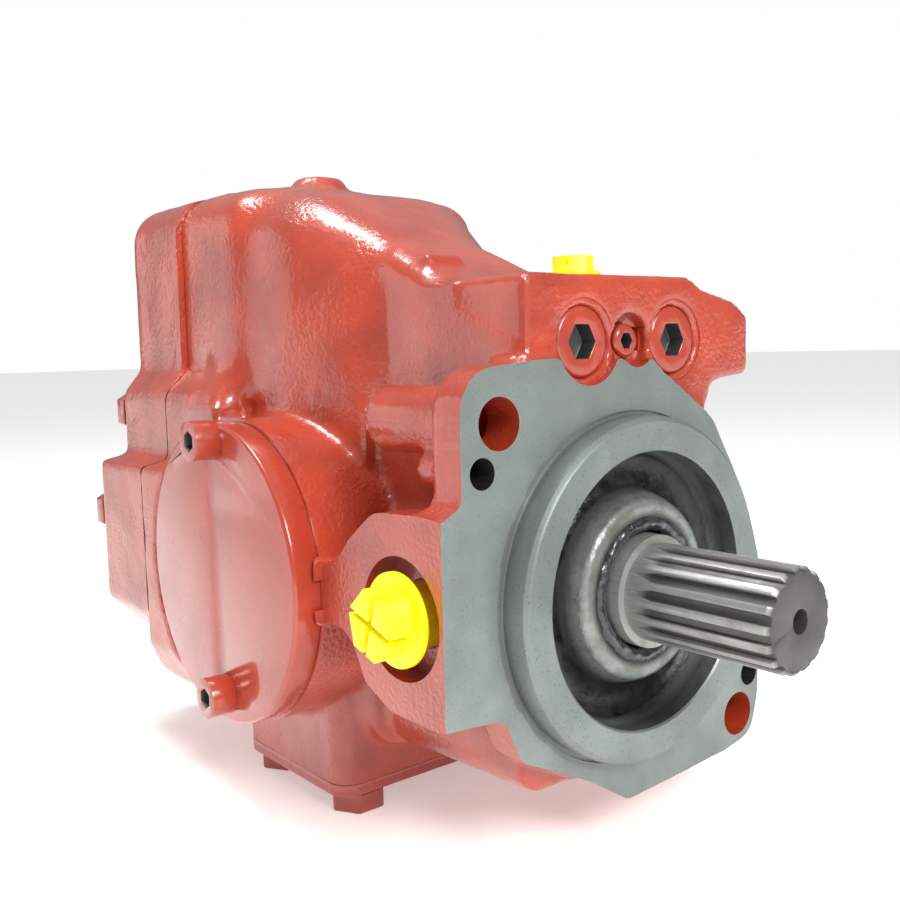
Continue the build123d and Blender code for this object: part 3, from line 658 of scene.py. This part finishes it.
def slab(name: str, low: tuple[float, float, float], high: tuple[float, float, float]) -> bpy.types.Object:
    """A box primitive between two corners in millimetres, used as a tool.

    Args:
        name: the tool's name.
        low: its lowest corner.
        high: its highest corner.

    Returns:
        The box.
    """
    centre = [(a + b) / 2 * MM for a, b in zip(low, high)]
    bpy.ops.mesh.primitive_cube_add(size=1.0, location=centre, scale=[(b - a) * MM for a, b in zip(low, high)])
    tool = bpy.context.active_object
    tool.name = name
    settle(tool)
    return tool


def cut_away(obj: bpy.types.Object, tool: bpy.types.Object) -> None:
    """Cuts a tool solid out of a piece and removes the tool."""
    apply_modifier(obj, "BOOLEAN", object=tool, operation="DIFFERENCE", solver="MANIFOLD")
    bpy.data.objects.remove(tool)


def turned(name: str, profile: Iterable[tuple[float, float]], steps: int = 192) -> bpy.types.Object:
    """A closed solid spun about the shaft's axis.

    Args:
        name: the piece's name.
        profile: (radius, y) corners in millimetres, in order round the section.
        steps: faces round it.

    Returns:
        The turned piece, faces outwards.
    """
    points = [Vector((r * MM, y * MM, 0.0)) for r, y in profile]
    bpy.ops.mesh.primitive_plane_add(size=MM, location=points[0])
    piece = bpy.context.active_object
    piece.name = name
    settle(piece)
    bpy.ops.object.mode_set(mode="EDIT")
    bpy.ops.mesh.select_mode(type="VERT")
    bpy.ops.mesh.select_all(action="SELECT")
    bpy.ops.mesh.merge(type="CENTER")
    for here, there in zip(points, points[1:] + points[:1]):
        bpy.ops.mesh.extrude_vertices_move(TRANSFORM_OT_translate={"value": there - here})
    bpy.ops.mesh.select_all(action="SELECT")
    bpy.ops.mesh.spin(steps=steps, angle=math.tau, center=(0, 0, 0), axis=(0, 1, 0))
    bpy.ops.mesh.select_all(action="SELECT")
    bpy.ops.mesh.remove_doubles(threshold=1e-6)
    bpy.ops.mesh.normals_make_consistent(inside=False)
    bpy.ops.object.mode_set(mode="OBJECT")
    return piece


def smooth(obj: bpy.types.Object, angle_deg: float = 30.0) -> None:
    """Shades smooth across edges flatter than an angle."""
    select_only(obj)
    bpy.ops.object.shade_smooth_by_angle(angle=math.radians(angle_deg), keep_sharp_edges=False)


def arc_points(
    start: tuple[float, float], through: tuple[float, float], end: tuple[float, float], count: int
) -> list[tuple[float, float]]:
    """Points on the circle through three points.

    Args:
        start: the first point.
        through: a point between.
        end: the last point.
        count: how many points, ends included.

    Returns:
        The points from start to end.
    """
    (ax, ay), (bx, by), (cx, cy) = start, through, end
    d = 2 * (ax * (by - cy) + bx * (cy - ay) + cx * (ay - by))
    ux = ((ax**2 + ay**2) * (by - cy) + (bx**2 + by**2) * (cy - ay) + (cx**2 + cy**2) * (ay - by)) / d
    uy = ((ax**2 + ay**2) * (cx - bx) + (bx**2 + by**2) * (ax - cx) + (cx**2 + cy**2) * (bx - ax)) / d
    radius = math.hypot(ax - ux, ay - uy)
    first, mid, last = (math.atan2(y - uy, x - ux) for x, y in (start, through, end))
    sweep = (last - first) % math.tau
    if (mid - first) % math.tau > sweep:
        sweep -= math.tau
    angles = [first + sweep * i / (count - 1) for i in range(count)]
    return [(ux + radius * math.cos(a), uy + radius * math.sin(a)) for a in angles]


# ---------------------------------------------------------------- castings


@dataclass(frozen=True)
class Bore:
    """A drilled or bored cylinder in a casting, in millimetres."""

    axis: AxisName
    radius: float
    start: float
    end: float
    centre: tuple[float, float]

    def tool(self, grow: float = 0.0, reach: float = 0.0) -> bpy.types.Object:
        """The bore as a solid, grown in radius by grow and in length by reach at each end."""
        return rod("bore", self.axis, self.radius + grow, self.start - reach, self.end + reach, self.centre)


@dataclass(frozen=True)
class Pocket:
    """A square-sided cut in a casting, in millimetres."""

    low: tuple[float, float, float]
    high: tuple[float, float, float]

    def tool(self, grow: float = 0.0, reach: float = 0.0) -> bpy.types.Object:
        """The pocket as a solid, grown by grow and reach on every side."""
        step = grow + reach
        return slab("pocket", tuple(v - step for v in self.low), tuple(v + step for v in self.high))


@dataclass(frozen=True)
class Datum:
    """A flat machined face: where it lies, and what is left bare on it."""

    axis: AxisName
    at: float
    outward: int
    bare: bool = False

    def holds(self, centre: Vector, normal: Vector, slack_mm: float = 0.03) -> bool:
        """Whether a face lies on this datum."""
        facing = normal[self.axis.value] * self.outward > 0.999
        return facing and abs(centre[self.axis.value] / MM - self.at) < slack_mm


@dataclass
class Casting:
    """A sand casting: the CAD solid, plugged, skinned over, softened like moulding sand, then machined exactly."""

    node: str
    name: str
    body: str
    slot: str
    voxel_mm: float
    datums: list[Datum]
    bores: list[Bore]
    facings: list[Bore | Pocket]
    openings: list[Bore | Pocket] = field(default_factory=list)
    recesses: list[Bore | Pocket] = field(default_factory=list)
    soften: int = 3
    proud_mm: float = 3.0
    bulge_soften: int = 70
    sand_mm: float = 11.0
    sand_depth_mm: float = 0.5

    def build(self, finishes: Finishes) -> bpy.types.Object:
        """Builds and dresses the casting.

        Args:
            finishes: the pump's materials.

        Returns:
            The casting.
        """
        piece = copy_of_node(self.node, self.name)
        self._leave_stock(piece)
        self._plug(piece)
        self._skin(piece)
        self._machine(piece)
        self._dress(piece, finishes)
        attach(piece, self.body)
        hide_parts(self.node)
        return piece

    def _leave_stock(self, piece: bpy.types.Object) -> None:
        """Pulls each machined face out, so that the cut after softening has sharp edges.

        Args:
            piece: the casting.
        """
        for datum in self.datums:
            if not pick_faces(piece, datum.holds):
                continue
            pull = [0.0, 0.0, 0.0]
            pull[datum.axis.value] = datum.outward * self.proud_mm * MM
            move = {"value": pull}
            in_edit_mode(piece, lambda m=move: bpy.ops.mesh.extrude_region_move(TRANSFORM_OT_translate=m))

    def _plug(self, piece: bpy.types.Object) -> None:
        """Joins a solid into every opening, so that the skin has no way in.

        Args:
            piece: the casting.
        """
        tools = [bore.tool(grow=0.4, reach=self.proud_mm) for bore in self.bores]
        tools += [opening.tool(grow=0.4) for opening in self.openings]
        bpy.ops.object.select_all(action="DESELECT")
        for tool in tools:
            tool.select_set(True)
        piece.select_set(True)
        bpy.context.view_layer.objects.active = piece
        bpy.ops.object.join()

    def _skin(self, piece: bpy.types.Object) -> None:
        """Skins the plugged solid, softens it and gives it the sand's unevenness.

        Args:
            piece: the casting.
        """
        apply_modifier(piece, "REMESH", mode="VOXEL", voxel_size=self.voxel_mm * MM)
        apply_modifier(piece, "SMOOTH", factor=0.6, iterations=self.soften)
        if pick_faces(piece, self._in_bulge):
            in_edit_mode(piece, lambda: bpy.ops.mesh.vertices_smooth(factor=0.6, repeat=self.bulge_soften))
        texture = bpy.data.textures.new(self.name + "_sand", "CLOUDS")
        texture.noise_scale = self.sand_mm * MM
        texture.noise_depth = 2
        depth = self.sand_depth_mm * MM
        apply_modifier(piece, "DISPLACE", texture=texture, strength=depth, mid_level=0.55, texture_coords="LOCAL")

    def _machine(self, piece: bpy.types.Object) -> None:
        """Cuts the datums, bores and pockets to size.

        Args:
            piece: the casting.
        """
        for facing in self.facings:
            cut_away(piece, facing.tool())
        for bore in [*self.openings, *self.bores, *self.recesses]:
            cut_away(piece, bore.tool())

    def _is_turned(self, centre: Vector) -> bool:
        """Whether a face was left bare by turning."""
        return False

    def _is_threaded(self, centre: Vector) -> bool:
        """Whether a face lies in a tapped hole that shows."""
        return False

    def _in_bulge(self, centre: Vector, normal: Vector) -> bool:
        """Whether a face lies on a part that the pattern maker rounded more."""
        return False

    def _dress(self, piece: bpy.types.Object, finishes: Finishes) -> None:
        """Red enamel all over, bare iron on the bare datums.

        Args:
            piece: the casting.
            finishes: the pump's materials.
        """
        smooth(piece, 40.0)
        piece.data.materials.clear()
        for material in (finishes.cast_red, finishes.iron, finishes.dark_steel):
            piece.data.materials.append(material)
        bare = [d for d in self.datums if d.bare]
        for polygon in piece.data.polygons:
            groove = self._is_turned(polygon.center)
            polygon.material_index = int(groove or any(d.holds(polygon.center, polygon.normal) for d in bare))
            # Painted shade: the walls of the tapped holes take the dark steel finish.
            if self._is_threaded(polygon.center):
                polygon.material_index = 2
        LOG.info("%s: %d triangles", piece.name, sum(len(p.vertices) - 2 for p in piece.data.polygons))


@dataclass
class FrontHousing(Casting):
    """The front casting with its flange face, port pad, cover seats, split face and every bore."""

    groove_r: float = 52.45

    def _is_turned(self, centre: Vector) -> bool:
        """Whether a face lies in the groove turned round the pilot's root."""
        return centre.y < 8.5 * MM and math.hypot(centre.x, centre.z) < self.groove_r * MM

    def _is_threaded(self, centre: Vector) -> bool:
        """Whether a face lies in one of the flange's two tapped holes.

        Args:
            centre: the face's centre.

        Returns:
            True where it does.
        """
        x, y, z = (v / MM for v in centre)
        off_axis = min(math.hypot(x - side * TAP_XZ[0], z - side * TAP_XZ[1]) for side in (-1, 1))
        return 0.3 < y < 21 and off_axis < 4.4

    def _in_bulge(self, centre: Vector, normal: Vector) -> bool:
        """Whether a face lies on the body's rounded shoulder, clear of the boss on top and the block in front."""
        x, y, z = (v / MM for v in centre)
        return 64 < y < 150 and z > 55 and math.hypot(x + 20, y - 134) > 17

    @classmethod
    def sized(cls) -> "FrontHousing":
        """The housing with the row's sizes.

        Returns:
            The housing.
        """
        x, y, z = AxisName.X, AxisName.Y, AxisName.Z
        h = FLANGE_HOLE_XZ
        load_sense, pressure = (LOAD_SENSE_X, VALVE_Z), (PRESSURE_X, VALVE_Z)
        bores = [
            Bore(y, 20.0, -6, 12, (0, 0)),
            Bore(y, 23.5, 9, 36, (0, 0)),
            Bore(y, 47.0, 34, 100, (0, 0)),
            Bore(y, 52.5, 92, 170, (0, 0)),
            Bore(y, 7.15, -4, 13.5, (-h, h)),
            Bore(y, 7.15, -4, 13.5, (h, -h)),
            Bore(y, 9.5, 13, 46, (-h, h)),
            Bore(y, 9.5, 13, 46, (h, -h)),
            Bore(y, 4.25, -4, 20, (-TAP_XZ[0], -TAP_XZ[1])),
            Bore(y, 4.25, -4, 20, TAP_XZ),
            Bore(x, 17.0, -76, -63.5, (18.5, 0)),
            Bore(x, 9.6, -70, -32, (18.5, 0)),
            Bore(y, 5.08, 10, 56, load_sense),
            Bore(y, 5.08, 10, 56, pressure),
            Bore(y, 10.08, 36, 80, (0, VALVE_Z)),
            Bore(y, 13.08, 120, 170, (0, VALVE_Z)),
            Bore(x, 34.6, -75, 75, (COVER_Y, 0)),
            Bore(z, 16.0, -75, -40, (0, 109.0)),
        ]
        openings: list[Bore | Pocket] = [
            Pocket((-16, 78, 40), (16, 128, 87)),
            Pocket((33, 24, -14), (46.5, 36, 14)),
        ]
        recesses: list[Bore | Pocket] = [
            Bore(y, 12.4, -3, 2.6, load_sense),
            Bore(y, 12.4, -3, 2.6, pressure),
            Bore(y, 10.25, 0, 17, load_sense),
            Bore(y, 10.25, 0, 17, pressure),
            Bore(y, 7.8, -3, 6, (GAUGE_X, VALVE_Z)),
            Bore(y, 5.0, 5, 15, (GAUGE_PLUG_X, VALVE_Z)),
            Pocket((6.4, -3, 69.5), (10, 12, 76.5)),
        ]
        for span in ((-75, -56), (56, 75)):
            bores += [Bore(x, 4.05, *span, place) for place in COVER_SCREW_YZ]
        bores += [Bore(z, 5.05, -75, -58, (across, along)) for across in (-44, 44) for along in (85, 133)]
        bores += [Bore(y, 5.05, 158, 170, place) for place in REAR_BOLT_XZ]
        bores += [Bore(y, 4.0, 160, 170, place) for place in DOWEL_XZ]
        facings: list[Bore | Pocket] = [
            Pocket((-90, -20, -90), (90, 0, 90)),
            Bore(y, 50.8, -1, 8, (0, 0)),
            Bore(y, 52.3, -1, 0.9, (0, 0)),
            Pocket((-90, -5, -30), (-COVER_SEAT_X, 57, 31.5)),
            Bore(x, 50.7, -92, -COVER_SEAT_X, (COVER_Y, 0)),
            Bore(x, 50.7, COVER_SEAT_X, 92, (COVER_Y, 0)),
            Pocket((-95, SPLIT_Y, -90), (95, 185, 140)),
            Pocket((-90, 60, -90), (90, 150, -71)),
        ]
        datums = [
            Datum(y, 0.0, -1, bare=True),
            Datum(x, -COVER_SEAT_X, -1),
            Datum(x, COVER_SEAT_X, 1),
            Datum(y, SPLIT_Y, 1),
            Datum(z, -71.0, -1),
        ]
        return cls(
            node="housing", name="housing_casting", body="casing", slot="red_casting", voxel_mm=1.45,
            datums=datums, bores=bores, facings=facings, openings=openings, recesses=recesses,
        )


@dataclass
class RearCasting(Casting):
    """The rear casting with its split face and the pockets behind it."""

    @classmethod
    def sized(cls) -> "RearCasting":
        """The rear cover with the row's sizes.

        Returns:
            The rear cover.
        """
        y = AxisName.Y
        bores = [
            Bore(y, 46.0, 166, 186, (0, 0)),
            Bore(y, 26.0, 184, 204, (0, 0)),
            Bore(y, 12.0, 166, 205, (0, VALVE_Z)),
        ]
        bores += [Bore(y, 4.0, 166, 176, place) for place in DOWEL_XZ]
        bores += [Bore(y, 5.5, 166, 209, place) for place in REAR_BOLT_XZ]
        return cls(
            node="rear_cover", name="rear_cover_casting", body="casing", slot="red_casting", voxel_mm=1.5,
            datums=[Datum(y, REAR_FACE_Y, -1)], bores=bores,
            facings=[Pocket((-95, 150, -90), (95, REAR_FACE_Y, 140))],
        )


@dataclass
class PilotRegister:
    """The turned pilot: a ground outer wall, a flat front ring, and the cast bowl and hub inside it."""

    radius: float = 50.8
    nose_y: float = -8.0
    chamfer: float = 1.5
    mouth_r: float = 40.8
    seal_bore_r: float = 20.0

    def profile(self) -> list[tuple[float, float]]:
        """The section from the outer wall round the bowl and hub to the seal bore.

        Returns:
            (radius, y) corners in order.
        """
        bowl = arc_points((self.mouth_r - 0.2, -3.0), (35.0, 5.5), (28.5, 0.0), 22)
        hub = arc_points((27.0, -3.6), (25.8, -5.1), (24.0, -5.5), 7)
        return [
            (self.radius, 7.9), (self.radius, self.nose_y + self.chamfer), (self.radius - 0.2, self.nose_y + 1.1),
            (self.radius - self.chamfer, self.nose_y), (self.mouth_r + 0.6, self.nose_y),
            (self.mouth_r, self.nose_y + 0.5), *bowl, (27.8, -1.8), *hub, (22.0, -5.5),
            (self.seal_bore_r + 0.7, -5.4), (self.seal_bore_r, -4.8), (self.seal_bore_r, 7.9),
        ]

    def build(self, finishes: Finishes) -> bpy.types.Object:
        """Builds and dresses the pilot.

        Args:
            finishes: the pump's materials.

        Returns:
            The pilot.
        """
        piece = turned("pilot_register", self.profile(), 224)
        smooth(piece, 28.0)
        for material in (finishes.iron, finishes.skin):
            piece.data.materials.append(material)
        for polygon in piece.data.polygons:
            r = math.hypot(polygon.center.x, polygon.center.z) / MM
            cast = r < self.mouth_r + 0.05 and polygon.center.y / MM > self.nose_y + 0.6
            polygon.material_index = int(cast)
        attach(piece, "casing")
        return piece


@dataclass
class SealPacking:
    """The lip seal's rubber with the grease that has been pushed out round it."""

    lip_r: float = 16.75
    grease_r: float = 19.4
    grease_thick: float = 2.2
    grease_y: float = -4.4

    def build(self, finishes: Finishes) -> None:
        """Builds the seal's rubber and its grease.

        Args:
            finishes: the pump's materials.
        """
        lip = turned("seal_rubber", [
            (18.35, 6.2), (18.35, -1.6), (17.9, -2.4), (17.2, -2.8), (self.lip_r, -2.4), (17.3, -0.6),
            (self.lip_r, 1.0), (17.3, 2.2), (17.3, 6.2),
        ], 160)
        smooth(lip)
        lip.data.materials.append(finishes.rubber)
        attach(lip, "casing")
        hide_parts("seal_lip")
        bpy.ops.mesh.primitive_torus_add(
            major_segments=160, minor_segments=20, major_radius=self.grease_r * MM,
            minor_radius=self.grease_thick * MM, location=(0, self.grease_y * MM, 0), rotation=(math.pi / 2, 0, 0),
        )
        grease = bpy.context.active_object
        grease.name = "seal_grease"
        settle(grease)
        texture = bpy.data.textures.new("grease_lumps", "CLOUDS")
        texture.noise_scale = 3.5 * MM
        texture.noise_depth = 3
        apply_modifier(grease, "DISPLACE", texture=texture, strength=1.6 * MM, mid_level=0.6, texture_coords="LOCAL")
        smooth(grease, 180.0)
        grease.data.materials.append(finishes.rubber)
        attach(grease, "casing")


@dataclass(frozen=True)
class Socket:
    """Hexagon sockets, in millimetres: their insides are bare steel that the paint doesn't reach, and their dark
    colour is also painted shade.
    """

    axis: AxisName
    face: float
    corner_r: float
    centres: tuple[tuple[float, float], ...]

    def holds(self, centre: Vector) -> bool:
        """Whether a face lies inside one of the sockets.

        Args:
            centre: the face's centre.

        Returns:
            True where it does.
        """
        along = abs(centre[self.axis.value]) / MM
        deep = along < self.face - 0.4 if self.axis is AxisName.X else along > self.face + 0.4
        rest = [v / MM for i, v in enumerate(centre) if i != self.axis.value]
        return deep and any(math.hypot(rest[0] - a, rest[1] - b) < self.corner_r for a, b in self.centres)


@dataclass
class TrimmedPiece:
    """A turned, milled or moulded piece: the CAD solid with its edges broken as a maker leaves them."""

    node: str
    body: str
    slot: str
    edge_mm: float
    segments: int = 2
    edge_angle_deg: float = 28.0
    socket: Socket | None = None

    def build(self, material: bpy.types.Material, bare: bpy.types.Material | None = None) -> bpy.types.Object:
        """Builds and dresses the piece.

        Args:
            material: its finish.
            bare: the finish inside its sockets, bare steel that the paint doesn't reach and dark also as painted
                shade.

        Returns:
            The piece.
        """
        piece = copy_of_node(self.node, self.node + "_trimmed")
        in_edit_mode(piece, lambda: bpy.ops.mesh.dissolve_limited(angle_limit=math.radians(0.8)), whole=True)
        apply_modifier(
            piece, "BEVEL", width=self.edge_mm * MM, segments=self.segments, limit_method="ANGLE",
            angle_limit=math.radians(self.edge_angle_deg), use_clamp_overlap=True, harden_normals=False,
        )
        merge(piece)
        smooth(piece, 32.0)
        piece.data.materials.append(material)
        # Faces deep in the sockets take the dark steel finish: bare steel that the paint doesn't reach, and painted
        # shade in the recess.
        if self.socket:
            piece.data.materials.append(bare)
            for polygon in piece.data.polygons:
                polygon.material_index = int(self.socket.holds(polygon.center))
        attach(piece, self.body)
        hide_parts(self.node)
        LOG.info("%s: %d faces", piece.name, len(piece.data.polygons))
        return piece


class Trim:
    """The covers, fasteners, plugs and shaft, each with its own edge and finish."""

    def build(self, finishes: Finishes) -> None:
        """Builds every trimmed piece.

        Args:
            finishes: the pump's materials.
        """
        red, turned_red = finishes.fastener_red, finishes.turned_red
        jobs = [
            ("side_cover_left", "red_cover", 0.35, turned_red), ("side_cover_right", "red_cover", 0.35, turned_red),
            ("side_cover_screws_left", "red_screw", 0.5, red), ("side_cover_screws_right", "red_screw", 0.5, red),
            ("inlet_flange", "red_cover", 0.5, turned_red), ("inlet_flange_bolts", "red_screw", 0.7, red),
            ("rear_cover_bolts", "red_screw", 0.7, red), ("load_sense_plug", "red_screw", 0.3, red),
            ("pressure_plug", "red_screw", 0.3, red), ("gauge_plug", "red_screw", 0.3, red),
            ("bleed_plug", "red_screw", 0.3, red), ("side_port_cap", "yellow_plastic", 0.45, finishes.plastic),
            ("top_port_cap", "yellow_plastic", 0.45, finishes.plastic),
            ("seal_case", "dark_steel", 0.2, finishes.dark_steel),
        ]
        x, y = AxisName.X, AxisName.Y
        screws = Socket(x, 89.0, 3.6, COVER_SCREW_YZ)
        sockets = {
            "side_cover_screws_left": screws, "side_cover_screws_right": screws,
            "load_sense_plug": Socket(y, 3.0, 5.7, ((LOAD_SENSE_X, VALVE_Z),)),
            "pressure_plug": Socket(y, 3.0, 5.7, ((PRESSURE_X, VALVE_Z),)),
            "gauge_plug": Socket(y, 2.6, 2.7, ((GAUGE_PLUG_X, VALVE_Z),)),
        }
        for node, slot, edge, material in jobs:
            piece = TrimmedPiece(node, "casing", slot, edge, socket=sockets.get(node))
            piece.build(material, finishes.dark_steel)
        TrimmedPiece("shaft", "rotating_group", "shaft_steel", 0.22, 2, 24.0).build(finishes.spline)


@dataclass
class SpoolSpring:
    """A spool's coil spring, copied from its CAD node with its finish. Sizes are in millimetres."""

    node: str
    joint: str
    travel: float = 3.0

    def build(self, finishes: Finishes) -> None:
        """Builds the spring.

        Args:
            finishes: the pump's materials.
        """
        piece = copy_of_node(self.node, self.node + "_coil")
        smooth(piece, 50.0)
        piece.data.materials.append(finishes.spring)
        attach(piece, "casing")
        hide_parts(self.node)
        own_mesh(piece)


def dress_inner_nodes(finishes: Finishes) -> None:
    """Gives every carried-over CAD node its finish.

    Args:
        finishes: the pump's materials.
    """
    by_slot = {
        "hard_steel": finishes.steel, "dark_steel": finishes.dark_steel, "bronze": finishes.bronze,
        "spring_steel": finishes.spring, "swash_iron": finishes.dark_steel, "seal_rubber": finishes.rubber,
        "gasket_sheet": finishes.gasket, "shaft_steel": finishes.spline, "red_screw": finishes.fastener_red,
        "red_cover": finishes.turned_red, "red_casting": finishes.cast_red, "yellow_plastic": finishes.plastic,
    }
    slots = {part["node"]: part["material_slot"] for part in frame["record"]["subparts"]}
    for name, obj in frame["nodes"].items():
        obj.data.materials.clear()
        obj.data.materials.append(by_slot[slots[name]])


# ---------------------------------------------------------------- studio


@dataclass
class Studio:
    """A pale floor, three soft lamps, a pale room and the camera."""

    floor_hex: str = "#F4F4F2"
    room_hex: str = "#FFFFFF"
    low_light: float = 0.16
    high_light: float = 0.55
    lens_mm: float = 41.18

    def build(self) -> None:
        """Builds the floor, the room's light, the three lamps and the camera."""
        self._floor()
        self._room()
        self._lamp("front_box", (-0.2, -1.15, 0.8), 20.0, 0.45)
        self._lamp("left_wall", (-1.2, 1.5, 0.25), 6.0, 1.3)
        self._lamp("top_box", (-0.25, 0.25, 1.0), 8.0, 0.35)
        self._camera()

    def _floor(self) -> None:
        """The floor under the lowest bolt heads."""
        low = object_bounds()[0].z
        bpy.ops.mesh.primitive_plane_add(size=24.0, location=(0, 0, low))
        floor = bpy.context.active_object
        floor.name = "floor"
        material, tree, shader, coords = blank_material("matt_white_paper")
        mottled = mix_colours(tree, grain(tree, coords, 30.0, 2.0), self.floor_hex, "#F8F8F7")
        tree.links.new(mottled, shader.inputs["Base Color"])
        shader.inputs["Roughness"].default_value = 0.9
        shader.inputs["Emission Color"].default_value = linear(self.floor_hex)
        shader.inputs["Emission Strength"].default_value = 0.42
        floor.data.materials.append(material)
        floor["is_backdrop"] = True

    def _room(self) -> None:
        """A white room to look at, that lights the pump from above more than from below."""
        world = bpy.data.worlds.new("pale_room")
        world.use_nodes = True
        tree = world.node_tree
        height = add_node(tree, "ShaderNodeTexCoord").outputs["Generated"]
        rise = add_node(tree, "ShaderNodeSeparateXYZ", {0: height}).outputs["Z"]
        glow = ramp(tree, rise, -0.1, 0.9, self.low_light, self.high_light)
        seen = add_node(tree, "ShaderNodeLightPath").outputs["Is Camera Ray"]
        strength = add_node(tree, "ShaderNodeMix", {0: seen, 2: glow, 3: 1.0}).outputs[0]
        background = tree.nodes["Background"]
        background.inputs["Color"].default_value = linear(self.room_hex)
        tree.links.new(strength, background.inputs["Strength"])
        bpy.context.scene.world = world
        bpy.context.scene.view_settings.view_transform = "Standard"

    def _lamp(self, name: str, place: tuple[float, float, float], watts: float, size: float) -> None:
        """A square soft lamp that looks at the pump.

        Args:
            name: the lamp's name.
            place: where it stands, in metres.
            watts: its power.
            size: its edge, in metres.
        """
        data = bpy.data.lights.new(name, "AREA")
        data.energy = watts
        data.size = size
        lamp = bpy.data.objects.new(name, data)
        bpy.context.scene.collection.objects.link(lamp)
        aim = Vector((0.0, 0.08, 0.02)) - Vector(place)
        lamp.matrix_world = Matrix.Translation(place) @ aim.to_track_quat("-Z", "Y").to_matrix().to_4x4()

    def _camera(self) -> None:
        """The camera, level with the shaft and to the left of it."""
        data = bpy.data.cameras.new("camera")
        data.lens = self.lens_mm
        data.sensor_width = 36.0
        data.clip_start = 0.01
        camera = bpy.data.objects.new("camera", data)
        bpy.context.scene.collection.objects.link(camera)
        right, up = (0.77675, -0.62931, -0.02510), (0.08123, 0.06058, 0.99485)
        back = (-0.62455, -0.77479, 0.09817)
        place = (-0.22941, -0.19987, 0.07151)
        camera.matrix_world = Matrix([*zip(right, up, back, place), (0, 0, 0, 1)])
        bpy.context.scene.camera = camera


def main() -> None:
    """Builds the pump piece by piece, then the studio."""
    logging.basicConfig(level=logging.INFO, format="%(name)s: %(message)s")
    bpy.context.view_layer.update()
    finishes = Finishes()
    dress_inner_nodes(finishes)
    for casting in (FrontHousing.sized(), RearCasting.sized()):
        casting.build(finishes)
    PilotRegister().build(finishes)
    SealPacking().build(finishes)
    Trim().build(finishes)
    for word in ("load_sense", "pressure"):
        SpoolSpring(word + "_spring", word + "_spool_slide").build(finishes)
    Studio().build()


if __name__ == "__main__":
    main()
